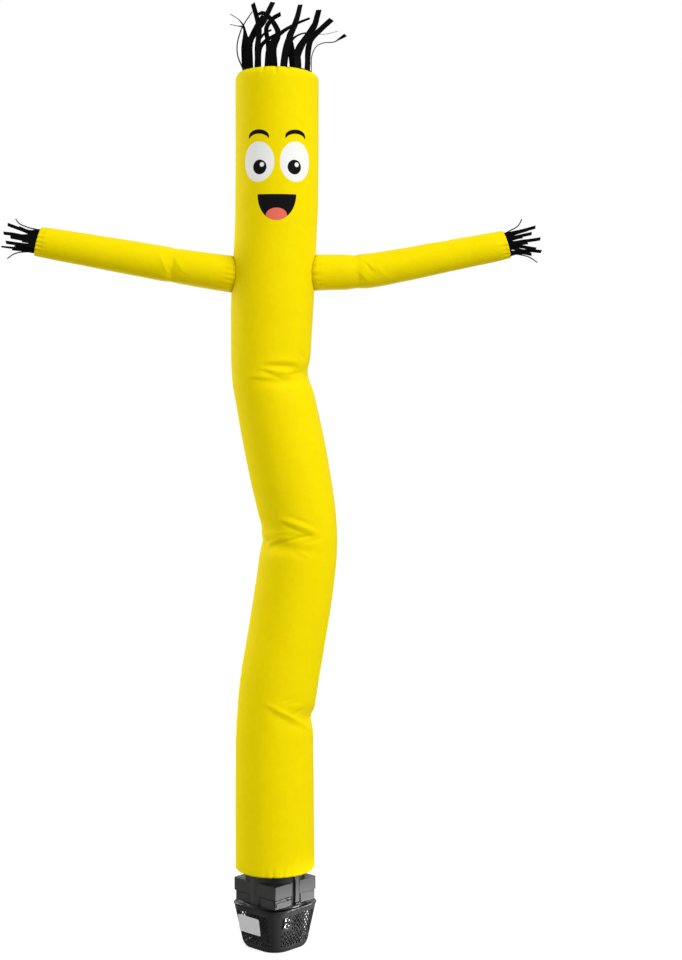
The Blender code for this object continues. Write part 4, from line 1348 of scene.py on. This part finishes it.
# A printed oval, as a mask with a slightly soft edge.
printed_oval, given, result = new_group(
    "printed_oval",
    (
        ("Across", "Float", 0.0),
        ("Height", "Float", 0.0),
        ("Centre Across", "Float", 0.0),
        ("Centre Height", "Float", 0.0),
        ("Half Width", "Float", 0.01),
        ("Half Height", "Float", 0.01),
    ),
    (("Mask", "Float"),),
)
x = maths(printed_oval, "SUBTRACT", given["Across"], given["Centre Across"])
y = maths(printed_oval, "SUBTRACT", given["Height"], given["Centre Height"])
x = maths(printed_oval, "POWER", maths(printed_oval, "DIVIDE", x, given["Half Width"]), 2.0)
y = maths(printed_oval, "POWER", maths(printed_oval, "DIVIDE", y, given["Half Height"]), 2.0)
reach = maths(printed_oval, "SQRT", maths(printed_oval, "ADD", x, y))
inside = maths(printed_oval, "SUBTRACT", 1.0, reach)
inside = maths(printed_oval, "MULTIPLY", inside, given["Half Width"])
inside = maths(printed_oval, "MULTIPLY_ADD", inside, PRINT_SHARPNESS, 0.5, clamp=True)
feed(result, {"Mask": inside})

YELLOW = (0.93, 0.76, 0.002, 1)
DEEP_YELLOW = (0.86, 0.67, 0.001, 1)
THREAD_YELLOW = (0.83, 0.65, 0.004, 1)
INK_BLACK = (0.008, 0.008, 0.009, 1)
INK_WHITE = (0.88, 0.88, 0.86, 1)
INK_PINK = (0.82, 0.16, 0.11, 1)
NYLON_ROUGHNESS = 0.45
STITCH_STEP = 0.0032
SEAM_STITCHES = 0.004
HEM_STITCHES = 0.012
VENT_STITCHES = 0.013


def nylon_material(name, seam_lines, edge_lines, crinkle=1.0):
    """Yellow nylon with stitches beside its seam and along its hems. Returns its colour too."""
    made, tree = new_material(name, {"Specular IOR Level": 0.012})
    flat = add_node(tree, "UVMap", uv_map="cloth").outputs[0]
    split = add_node(tree, "SeparateXYZ", {0: flat})
    across, along = split.outputs[0], split.outputs[1]
    values = {
        "Colour": YELLOW,
        "Deep Colour": DEEP_YELLOW,
        "Crinkle": crinkle,
        "Roughness": NYLON_ROUGHNESS,
    }
    cloth = add_node(tree, "Group", values, node_tree=woven_nylon)
    stitches = 0.0
    for lines, first, second in ((seam_lines, across, along), (edge_lines, along, across)):
        for line in lines:
            place = {"Across": first, "Along": second, "Line": line, "Stitch": STITCH_STEP}
            row = add_node(tree, "Group", place, node_tree=stitched_row)
            stitches = maths(tree, "MAXIMUM", stitches, row.outputs[0])
    coloured = blend_colours(tree, stitches, cloth.outputs["Colour"], THREAD_YELLOW)
    height = maths(tree, "MULTIPLY_ADD", stitches, STITCH_RELIEF, cloth.outputs["Height"])
    finish_surface(tree, coloured, cloth.outputs["Roughness"], height, strength=0.55, distance=0.0016)
    return made, tree, coloured, across, along


OvalRow = namedtuple("OvalRow", "across height half_width half_height")
EYES = (OvalRow(-0.036, 1.497, 0.031, 0.037), OvalRow(0.036, 1.497, 0.031, 0.037))
PUPILS = (OvalRow(-0.033, 1.487, 0.0135, 0.0135), OvalRow(0.033, 1.487, 0.0135, 0.0135))
GLINTS = (OvalRow(-0.0285, 1.4915, 0.0042, 0.0042), OvalRow(0.0375, 1.4915, 0.0042, 0.0042))
BROWS = (OvalRow(-0.036, 1.543, 0.021, 0.0130), OvalRow(0.036, 1.543, 0.021, 0.0130))
BROW_THICKNESS = 0.0080
MOUTH = OvalRow(0.0, 1.437, 0.037, 0.048)
TONGUE = OvalRow(0.0, 1.398, 0.020, 0.014)


def oval_mask(tree, across, height, row, drop=0.0):
    place = {
        "Across": across,
        "Height": height,
        "Centre Across": row.across,
        "Centre Height": row.height - drop,
        "Half Width": row.half_width,
        "Half Height": row.half_height,
    }
    return add_node(tree, "Group", place, node_tree=printed_oval).outputs[0]


def pair_mask(tree, across, height, rows, drop=0.0):
    """One mask for a left and a right oval."""
    left, right = (oval_mask(tree, across, height, row, drop) for row in rows)
    return maths(tree, "MAXIMUM", left, right)


half_round = math.pi * PRINT_RADIUS
seam_lines = (-half_round + SEAM_STITCHES, half_round - SEAM_STITCHES)
edge_lines = (HEM_EDGE + HEM_STITCHES, VENT_EDGE - VENT_STITCHES)
printed, tree, coloured, across, along = nylon_material("printed_yellow_nylon", seam_lines, edge_lines)
brows = pair_mask(tree, across, along, BROWS)
below_brows = pair_mask(tree, across, along, BROWS, BROW_THICKNESS)
brows = maths(tree, "SUBTRACT", brows, below_brows, clamp=True)
lower_half = maths(tree, "LESS_THAN", along, MOUTH.height)
mouth = maths(tree, "MULTIPLY", oval_mask(tree, across, along, MOUTH), lower_half)
tongue = maths(tree, "MULTIPLY", oval_mask(tree, across, along, TONGUE), mouth)
for mask, ink in (
    (brows, INK_BLACK),
    (pair_mask(tree, across, along, EYES), INK_WHITE),
    (pair_mask(tree, across, along, PUPILS), INK_BLACK),
    (pair_mask(tree, across, along, GLINTS), INK_WHITE),
    (mouth, INK_BLACK),
    (tongue, INK_PINK),
):
    coloured = blend_colours(tree, mask, coloured, ink)
feed(tree.nodes["Principled BSDF"], {"Base Color": coloured})

ArmRow = namedtuple("ArmRow", "out height diameter")
LEFT_ARM_ROWS = table(
    ArmRow,
    (0.0780, 1.2930, 0.0690),
    (0.1100, 1.2977, 0.0680),
    (0.1500, 1.3037, 0.0665),
    (0.1780, 1.3080, 0.0650),
    (0.1900, 1.3100, 0.0630),
    (0.2020, 1.3120, 0.0650),
    (0.2600, 1.3222, 0.0640),
    (0.3200, 1.3327, 0.0618),
    (0.3800, 1.3430, 0.0594),
    (0.4300, 1.3518, 0.0570),
    (0.4430, 1.3540, 0.0545),
)
RIGHT_ARM_ROWS = table(
    ArmRow,
    (0.0780, 1.2966, 0.0677),
    (0.1100, 1.2970, 0.0665),
    (0.1400, 1.2976, 0.0655),
    (0.1560, 1.2982, 0.0625),
    (0.1700, 1.2993, 0.0655),
    (0.2000, 1.3030, 0.0645),
    (0.2500, 1.3122, 0.0625),
    (0.3100, 1.3240, 0.0598),
    (0.3700, 1.3358, 0.0572),
    (0.4300, 1.3476, 0.0550),
    (0.4430, 1.3502, 0.0525),
)

SEAM_PROUD = 0.0009
SEAM_HALF_WIDTH = 3.0
SWELL = 0.0007
SWELL_SCALE = 16.0
SWELL_SEED = 3.0
SWELL_STRETCH = 0.45
HOLE_LEAST_OUT = 0.04
VENT_SAG = 0.0012
SIDE_SAG = 0.0032
SIDE_SAG_EXTRA = 0.0012
# The columns stand closer together in front, where the creases are finest.
turns = 2 * math.pi * np.arange(TUBE_SEGMENTS + 1) / TUBE_SEGMENTS
turns += BACK_SEAM - 2 * math.pi + FRONT_DENSITY * np.sin(turns)
heights = tube_heights()
azimuths, levels = np.meshgrid(np.degrees(turns[:-1]), heights)
radii = tube_radius(levels) + fold_push(azimuths, levels) + crease_push(TUBE_CREASES, azimuths, levels)
radii += tuck_push(VENT_TUCKS, azimuths, VENT_EDGE - levels, VENT_FADE)
radii += tuck_push(HEM_TUCKS, azimuths, levels - HEM_EDGE, HEM_FADE)
radii += SEAM_PROUD * np.exp(-((turned_apart(azimuths, 90) / SEAM_HALF_WIDTH) ** 2))
centres = read_rows(TUBE_ROWS, levels, "centre")
to_right, to_back = np.cos(np.radians(azimuths)), np.sin(np.radians(azimuths))
rough_points = np.stack([radii * to_right, radii * to_back, SWELL_STRETCH * levels], axis=-1)
swell = soft_swell(rough_points.reshape(-1, 3), SWELL_SCALE, SWELL_SEED).reshape(levels.shape)
radii += SWELL * swell
near_vent = np.clip((levels - SHOULDER_FULL) / (VENT_EDGE - SHOULDER_FULL), 0, 1)
sag = (VENT_SAG + SIDE_SAG * to_right**2 + SIDE_SAG_EXTRA * to_right) * near_vent**2
points = np.stack([centres + radii * to_right, radii * to_back, levels - sag], axis=-1)
across = PRINT_RADIUS * (turns + math.pi / 2)
tube = grid_sheet("blown_up_tube", points, across, heights, printed, ["body_tube"])
shape = bmesh.new()
shape.from_mesh(tube.data)
in_holes = []
for side, rows in ((-1, LEFT_ARM_ROWS), (1, RIGHT_ARM_ROWS)):
    for face in shape.faces:
        reach = [math.hypot(vert.co.y, vert.co.z - rows[0].height) for vert in face.verts]
        if side * face.calc_center_median().x > HOLE_LEAST_OUT and max(reach) < ARM_HOLE_RADIUS:
            in_holes.append(face)
bmesh.ops.delete(shape, geom=in_holes, context="FACES")
shape.to_mesh(tube.data)
shape.free()
thicken(tube, CLOTH)


# Sleeves: two tubes of the same nylon, sewn round the arm holes and tapering to open mouths.
# Each kinks near the shoulder, and its seams gather the cloth into small puckers.
SLEEVE_SEGMENTS = 96
SLEEVE_GRADE = GradeRow(0.0022, 0.0065, 0.010, 0.010)
SLEEVE_SEAM_GAP = 0.0007
SLIDE_PASSES = 8
SLEEVE_MAP_RADIUS = 0.031
SLEEVE_STITCHES = (0.088, 0.431)
SLEEVE_SWELL = 0.018
SLEEVE_SWELL_SCALE = 26.0
SLEEVE_SWELL_SEED = 9.0
CALM_REACH = 0.03
MOUTH_SLANT = 0.0027
SLANT_REACH = 0.05
PUCKER_COUNT = 17
PUCKER_DEPTH = 0.0009
PUCKER_REACH = 0.011
PUCKER_WANDER = 2.0
PUCKER_SINK = 0.4
# Places here are degrees round the sleeve (0 above, -90 in front) and the way out.
LEFT_SLEEVE_CREASES = table(
    CreaseRow,
    ((-48, 0.2190), (-90, 0.2080), (-132, 0.1900), 0.0016, 0.0050, 0.0045),
    ((-58, 0.1900), (-98, 0.1895), (-136, 0.1890), -0.0022, 0.0045, 0.0060),
    ((-50, 0.1920), (-82, 0.1800), (-114, 0.1650), 0.0014, 0.0040, 0.0050),
    ((-96, 0.1990), (-118, 0.1920), (-146, 0.1860), -0.0014, 0.0030, 0.0040),
    ((-90, 0.1760), (-116, 0.1810), (-142, 0.1850), -0.0012, 0.0035, 0.0035),
    ((-128, 0.2060), (-150, 0.1930), (-176, 0.1850), 0.0012, 0.0040, 0.0040),
    ((150, 0.1980), (122, 0.1900), (86, 0.1840), -0.0018, 0.0050, 0.0050),
)
RIGHT_SLEEVE_CREASES = table(
    CreaseRow,
    ((-40, 0.1660), (-66, 0.1780), (-94, 0.1910), 0.0016, 0.0040, 0.0045),
    ((-48, 0.1700), (-78, 0.1790), (-108, 0.1870), -0.0022, 0.0040, 0.0040),
    ((-88, 0.1610), (-114, 0.1710), (-140, 0.1820), 0.0014, 0.0040, 0.0040),
    ((-72, 0.1930), (-102, 0.2020), (-132, 0.2110), 0.0012, 0.0040, 0.0040),
    ((-90, 0.1580), (-118, 0.1600), (-150, 0.1570), -0.0018, 0.0045, 0.0045),
    ((140, 0.1650), (108, 0.1600), (70, 0.1560), -0.0018, 0.0050, 0.0050),
)


def arm_tangent(rows, out, side):
    step = 0.005
    out = min(max(out, rows[0].out + step), rows[-1].out - step)
    rise = read_rows(rows, out + step, "height") - read_rows(rows, out - step, "height")
    return Vector((side * 2 * step, 0, rise)).normalized()


def onto_tube(point, along, side):
    """Slides a point along the sleeve until it is just outside the tube's wall."""
    slid = point.copy()
    for _ in range(SLIDE_PASSES):
        radius = float(tube_radius(np.array(slid.z))) + SLEEVE_SEAM_GAP
        centre = float(read_rows(TUBE_ROWS, slid.z, "centre"))
        reach = centre + side * math.sqrt(radius**2 - point.y**2)
        slid = point + along * ((reach - point.x) / along.x)
    return slid


sleeve_nylon = nylon_material("yellow_sleeve_nylon", (), SLEEVE_STITCHES, crinkle=0.8)[0]
for name, side, rows, creases in (
    ("left", -1, LEFT_ARM_ROWS, LEFT_SLEEVE_CREASES),
    ("right", 1, RIGHT_ARM_ROWS, RIGHT_SLEEVE_CREASES),
):
    busy = crease_places(creases) + [rows[-1].out]
    outs = np.array(graded_places(rows[0].out, rows[-1].out, busy, SLEEVE_GRADE))
    around = math.pi + 2 * math.pi * np.arange(SLEEVE_SEGMENTS + 1) / SLEEVE_SEGMENTS
    turns, ways = np.meshgrid(around[:-1], outs)
    radii = read_rows(rows, ways, "diameter") / 2 + crease_push(creases, np.degrees(turns), ways)
    ends = np.minimum(ways - rows[0].out, rows[-1].out - ways)
    fade = np.exp(-((ends / PUCKER_REACH) ** 2))
    ripple = np.cos(PUCKER_COUNT * turns + PUCKER_WANDER * np.sin(3 * turns + side))
    radii += PUCKER_DEPTH * fade * (ripple - PUCKER_SINK)
    radii += tuck_push(MOUTH_TUCKS, np.degrees(turns), rows[-1].out - ways, MOUTH_FADE)
    points = np.zeros((*turns.shape, 3))
    for ring, out in enumerate(outs):
        direction = arm_tangent(rows, out, side)
        up = Vector((-side * direction.z, 0, side * direction.x))
        middle = Vector((side * out, 0, float(read_rows(rows, out, "height"))))
        slant = MOUTH_SLANT * max(0.0, 1 - (rows[-1].out - out) / SLANT_REACH)
        for index, turn in enumerate(around[:-1]):
            spread = up * math.cos(turn) + Vector((0, 1, 0)) * math.sin(turn)
            place = middle + spread * radii[ring, index] - direction * slant * math.cos(turn)
            at_tube = onto_tube(place, direction, side)
            if ring == 0 or side * (place.x - at_tube.x) < 0:
                place = at_tube
            points[ring, index] = place
    seed = SLEEVE_SWELL_SEED + side
    swell = soft_swell(points.reshape(-1, 3), SLEEVE_SWELL_SCALE, seed).reshape(turns.shape)
    axis = np.stack([side * ways, np.zeros_like(ways), read_rows(rows, ways, "height")], axis=-1)
    share = np.clip((ways - rows[0].out) / CALM_REACH, 0, 1)
    points += (points - axis) * (SLEEVE_SWELL * swell * share)[..., None]
    sleeve = grid_sheet(
        name + "_sleeve_cloth",
        points,
        SLEEVE_MAP_RADIUS * (around - math.pi),
        outs,
        sleeve_nylon,
        ["sleeve_" + name],
        inside_out=side > 0,
    )
    thicken(sleeve, CLOTH)


# Head fringe: a comb of cut black nylon ribbons on a narrow band that is sewn inside the
# vent. The ribbons stand up in the air stream, and fan out and twist.
HEAD_BAND_RADIUS = 0.0652
HEAD_BAND_BOTTOM = 1.6620
HEAD_BAND_HEIGHT = 0.0100
RIBBON_THICKNESS = 0.0006
RIBBON_SAMPLES = 18
RIBBON_ROOTS = (0.002, 0.016)
TURN_RATE = 3
TWIST_EASE = 1.4
TIP_SLANT = 0.15
BAND_STEPS = 96
VENT_CENTRE = float(read_rows(TUBE_ROWS, VENT_EDGE, "centre"))

black_cloth, tree = new_material("black_fringe_cloth", {"Specular IOR Level": 0.05})
threads, creased = cloudy(tree, 900.0, 2.0), cloudy(tree, 60.0, 4.0)
dusty = maths(tree, "MULTIPLY", creased, threads)
black = blend_colours(tree, dusty, (0.001, 0.001, 0.0012, 1), (0.003, 0.003, 0.0033, 1))
rough = maths(tree, "MULTIPLY_ADD", creased, 0.3, 0.40)
height = maths(tree, "MULTIPLY_ADD", creased, 3.0, threads)
finish_surface(tree, black, rough, height, strength=0.4, distance=0.0003)


def smooth_path(points, count):
    """Even samples of a smooth curve through a few points."""
    points = [2 * points[0] - points[1], *points, 2 * points[-1] - points[-2]]
    samples = []
    spans = len(points) - 3
    for index in range(count + 1):
        span, t = divmod(index / count * spans, 1)
        if span == spans:
            span, t = spans - 1, 1.0
        a, b, c, d = points[int(span) : int(span) + 4]
        linear, square, cube = c - a, 2 * a - 5 * b + 4 * c - d, 3 * b - a - 3 * c + d
        samples.append(0.5 * (2 * b + linear * t + square * t**2 + cube * t**3))
    return samples


def add_ribbon(shape, points, widths, across, turned, twist):
    """A flat strip along a smooth path, as wide at even steps along it as widths says.

    It is turned in its lower third, and twists on up to its tip.
    """
    path = smooth_path(points, RIBBON_SAMPLES)
    rings = []
    for index, point in enumerate(path):
        before, after = path[max(index - 1, 0)], path[min(index + 1, RIBBON_SAMPLES)]
        direction = (after - before).normalized()
        across = (across - direction * across.dot(direction)).normalized()
        share = index / RIBBON_SAMPLES
        width = float(np.interp(share * (len(widths) - 1), range(len(widths)), widths))
        angle = turned * min(1.0, TURN_RATE * share) + twist * share**TWIST_EASE
        wide = Matrix.Rotation(angle, 3, direction) @ across
        half_width, half_thick = wide * width / 2, direction.cross(wide) * RIBBON_THICKNESS / 2
        slant = direction * (TIP_SLANT * width if index == RIBBON_SAMPLES else 0.0)
        left, right = point - half_width - slant, point + half_width + slant
        rings.append([left - half_thick, right - half_thick, right + half_thick, left + half_thick])
    loft(shape, rings)


def add_band(shape, radius, low, high, matrix):
    """The narrow strip of cloth that the ribbons are cut from, closed into a ring."""
    inside = radius - CLOTH
    rows = table(TurnRow, (radius, low), (radius, high), (inside, high), (inside, low))
    rings = [[matrix @ Vector(point) for point in ring] for ring in turned_rings(rows, BAND_STEPS)]
    loft(shape, rings, ring_closes=True)


# Each ribbon leaves the band at an azimuth, front or back. It runs through places across and
# up, with its widths along it, its twist in degrees and how far its tip leans back. A ribbon
# in front that is nowhere thin has a twin behind it, which ends two places earlier.
RibbonRow = namedtuple("RibbonRow", "azimuth path widths twist lean")
FULL = (0.0135, 0.0090)
THREAD = (0.0026, 0.0020)
FORKED = (0.0135, 0.0135, 0.0130, 0.0060, 0.0036, 0.0014, 0.0012)
THREAD_THEN_TIP = (0.0018, 0.0018, 0.0018, 0.0018, 0.0022, 0.0070)
HEAD_RIBBONS = table(
    RibbonRow,
    (-178, (
        (-0.0659, 1.6995), (-0.0673, 1.7225), (-0.0612, 1.7455), (-0.0550, 1.7590), (-0.0389, 1.7833)
    ), THREAD, 0, 0.0),
    (-158, (
        (-0.0530, 1.7129), (-0.0527, 1.7384), (-0.0549, 1.7526), (-0.0649, 1.7652), (-0.0800, 1.7745)
    ), FORKED, 0, 0.0),
    (-147, (
        (-0.0481, 1.7109), (-0.0517, 1.7377), (-0.0556, 1.7484), (-0.0660, 1.7505), (-0.0798, 1.7532)
    ), FORKED, 0, 0.0),
    (-141, (
        (-0.0434, 1.7184), (-0.0316, 1.7416), (-0.0174, 1.7594), (-0.0097, 1.7759), (0.0, 1.7959)
    ), FULL, 10, 0.012),
    (-123, (
        (-0.0288, 1.7080), (-0.0255, 1.7391), (-0.0294, 1.7622), (-0.0373, 1.7901)
    ), (0.0122, 0.0085), -10, 0.010),
    (-105, (
        (-0.0063, 1.7061), (0.0054, 1.7242), (0.0204, 1.7374), (0.0422, 1.7499), (0.0681, 1.7605)
    ), (0.0135, 0.0125, 0.0085, 0.0060, 0.0040), 10, 0.0),
    (-95, (
        (0.0008, 1.7063), (0.0095, 1.7306), (0.0046, 1.7471), (-0.0069, 1.7630), (-0.0192, 1.7720),
        (-0.0272, 1.7690)
    ), (0.0130, 0.0120, 0.0090, 0.0059), -10, 0.016),
    (-79, (
        (0.0253, 1.7115), (0.0381, 1.7437), (0.0455, 1.7651), (0.0505, 1.7861)
    ), (0.0140, 0.0085), 10, 0.006),
    (-53, (
        (0.0459, 1.7029), (0.0593, 1.7245), (0.0753, 1.7460), (0.0813, 1.7648), (0.0852, 1.7792)
    ), (0.0135, 0.0100), -10, 0.006),
    (-28, (
        (0.0652, 1.7091), (0.0723, 1.7292), (0.0916, 1.7487), (0.1093, 1.7648)
    ), (0.0108, 0.0100), 10, 0.0),
    (-2, (
        (0.0722, 1.6982), (0.0791, 1.7171), (0.0930, 1.7260), (0.1139, 1.7279), (0.1236, 1.7333),
        (0.1367, 1.7414)
    ), THREAD_THEN_TIP, 15, 0.0),
    (122, (
        (-0.0263, 1.7185), (-0.0184, 1.7356), (-0.0015, 1.7474), (0.0183, 1.7575)
    ), (0.0100, 0.0060), 10, 0.0),
    (128, (
        (-0.0296, 1.7288), (-0.0198, 1.7494), (-0.0029, 1.7601)
    ), (0.0090, 0.0035), 10, 0.0),
    (104, (
        (-0.0095, 1.7355), (-0.0130, 1.7625), (-0.0015, 1.7807), (0.0149, 1.7903)
    ), (0.0100, 0.0080), 10, -0.010),
    (62, (
        (0.0324, 1.7272), (0.0352, 1.7409), (0.0451, 1.7497), (0.0564, 1.7544), (0.0706, 1.7563)
    ), (0.0120, 0.0080, 0.0035, 0.0025), 10, 0.0),
    (20, (
        (0.0684, 1.7210), (0.0768, 1.7441), (0.0992, 1.7471), (0.1230, 1.7526)
    ), (0.0080, 0.0020, 0.0010, 0.0008), 10, 0.0),
    (60, (
        (0.0352, 1.7270), (0.0310, 1.7489), (0.0417, 1.7682), (0.0465, 1.7846)
    ), FULL, 10, 0.0),
)
TWIN_LEAST_WIDTH = 0.006
TWIN_GROWTH = 1.036


def facing_turn(turn):
    """Turn that makes a ribbon's flat side face the front or the back, from its place round."""
    return math.copysign(math.pi / 2, turn) - turn


shape = bmesh.new()
band_middle = Matrix.Translation((VENT_CENTRE, 0, 0))
add_band(shape, HEAD_BAND_RADIUS, HEAD_BAND_BOTTOM, HEAD_BAND_BOTTOM + HEAD_BAND_HEIGHT, band_middle)
inner = HEAD_BAND_RADIUS - CLOTH / 2
for row in HEAD_RIBBONS:
    sides = (1, -1) if row.azimuth < 0 and min(row.widths) >= TWIN_LEAST_WIDTH else (1,)
    for side in sides:
        turn = side * math.radians(row.azimuth)
        start = Vector((VENT_CENTRE + inner * math.cos(turn), inner * math.sin(turn), HEAD_BAND_BOTTOM))
        grow, places = (1.0, row.path) if side > 0 else (TWIN_GROWTH, row.path[:-2])
        path = [start + Vector((0, 0, rise)) for rise in RIBBON_ROOTS]
        for index, (x, z) in enumerate(places):
            share = (index + 1) / len(row.path)
            high = CAMERA_PLACE[2] + (z - CAMERA_PLACE[2]) * (1 + (grow - 1) * min(1.0, 2 * share))
            path.append(Vector((x * grow, start.y + side * row.lean * share, high)))
        tangent = Vector((-math.sin(turn), math.cos(turn), 0))
        add_ribbon(shape, path, row.widths, tangent, facing_turn(turn), math.radians(row.twist))
head_comb = add_piece("head_ribbon_comb", shape, black_cloth, ["head_fringe"])


# Hand fringes: the same black ribbons on a band inside the mouth of each sleeve. They stream
# out level and droop or lift a little at their tips.
HAND_BAND_RADIUS = 0.0236
HAND_BAND_HEIGHT = 0.0080
HAND_BAND_DEPTH = 0.0085
HAND_SPREAD = 0.35
HAND_TWIN_REACH = (0.68, 0.86)
# Where each ribbon leaves the mouth, by degrees round it (0 above, -90 in front), and its
# run past the mouth: places out along the sleeve and up from its axis. All of them but the
# threads have a shorter twin of the same run behind them.
HandRow = namedtuple("HandRow", "around path widths")
BROAD = (0.0110, 0.0110, 0.0088, 0.0064, 0.0062, 0.0062)
HAND_ROWS = {
    "left": table(
        HandRow,
        (-24, ((0.0158, 0.0215), (0.0273, 0.0232), (0.0390, 0.0266), (0.0465, 0.0340)), THREAD),
        (-42, ((0.0137, 0.0136), (0.0308, 0.0156), (0.0480, 0.0188), (0.0583, 0.0207)), BROAD),
        (-64, ((0.0118, 0.0067), (0.0280, 0.0038), (0.0447, 0.0042), (0.0621, 0.0029)), BROAD),
        (-88, ((0.0100, -0.0023), (0.0229, -0.0024), (0.0358, -0.0021), (0.0481, -0.0021)), BROAD),
        (-108, ((0.0088, -0.0114), (0.0253, -0.0121), (0.0419, -0.0126), (0.0551, -0.0129)), BROAD),
        (-132, (
            (0.0083, -0.0193), (0.0249, -0.0198), (0.0434, -0.0209), (0.0633, -0.0222)
        ), (0.0090, 0.0032)),
        (-158, ((0.0128, -0.0225), (0.0291, -0.0263), (0.0413, -0.0325), (0.0506, -0.0423)), THREAD),
    ),
    "right": table(
        HandRow,
        (-24, ((0.0123, 0.0247), (0.0203, 0.0269), (0.0289, 0.0317), (0.0364, 0.0413)), THREAD),
        (-44, ((0.0158, 0.0177), (0.0293, 0.0188), (0.0429, 0.0197), (0.0575, 0.0208)), BROAD),
        (-66, ((0.0133, 0.0086), (0.0248, 0.0097), (0.0362, 0.0100), (0.0472, 0.0100)), BROAD),
        (-88, ((0.0111, -0.0013), (0.0264, -0.0009), (0.0432, -0.0022), (0.0609, -0.0031)), BROAD),
        (-112, ((0.0142, -0.0065), (0.0248, -0.0106), (0.0371, -0.0154), (0.0495, -0.0202)), BROAD),
        (-138, ((0.0070, -0.0185), (0.0204, -0.0185), (0.0392, -0.0205), (0.0599, -0.0267)), BROAD),
        (-158, ((0.0096, -0.0205), (0.0241, -0.0256), (0.0381, -0.0330), (0.0497, -0.0449)), THREAD),
    ),
}
dice = random.Random(41)
for name, side, rows in (("left", -1, LEFT_ARM_ROWS), ("right", 1, RIGHT_ARM_ROWS)):
    along = arm_tangent(rows, rows[-1].out, side)
    up = Vector((-side * along.z, 0, side * along.x))
    basis = Matrix((up, Vector((0, 1, 0)), along)).transposed().to_4x4()
    mouth = Vector((side * rows[-1].out, 0, rows[-1].height))
    basis.translation = mouth - along * HAND_BAND_DEPTH
    shape = bmesh.new()
    add_band(shape, HAND_BAND_RADIUS, 0.0, HAND_BAND_HEIGHT, basis)
    inner = HAND_BAND_RADIUS - CLOTH / 2
    for row in HAND_ROWS[name]:
        for far in (1, -1) if row.widths != THREAD else (1,):
            turn = far * math.radians(row.around)
            spread = Vector((math.cos(turn), math.sin(turn), 0)) * inner
            reach = 1.0 if far > 0 else dice.uniform(*HAND_TWIN_REACH)
            path = [basis @ (spread + Vector((0, 0, rise))) for rise in (RIBBON_ROOTS[0], HAND_BAND_DEPTH)]
            for index, (out, height) in enumerate(row.path):
                drift = 1.0 + HAND_SPREAD * (index + 1) / len(row.path)
                path.append(basis @ Vector((height, drift * spread.y, HAND_BAND_DEPTH + reach * out)))
            tangent = basis.to_3x3() @ Vector((-math.sin(turn), math.cos(turn), 0))
            add_ribbon(shape, path, row.widths, tangent, -side * facing_turn(turn), 0.0)
    comb = add_piece(
        name + "_hand_ribbon_comb", shape, black_cloth, ["hand_fringe_" + name]
    )
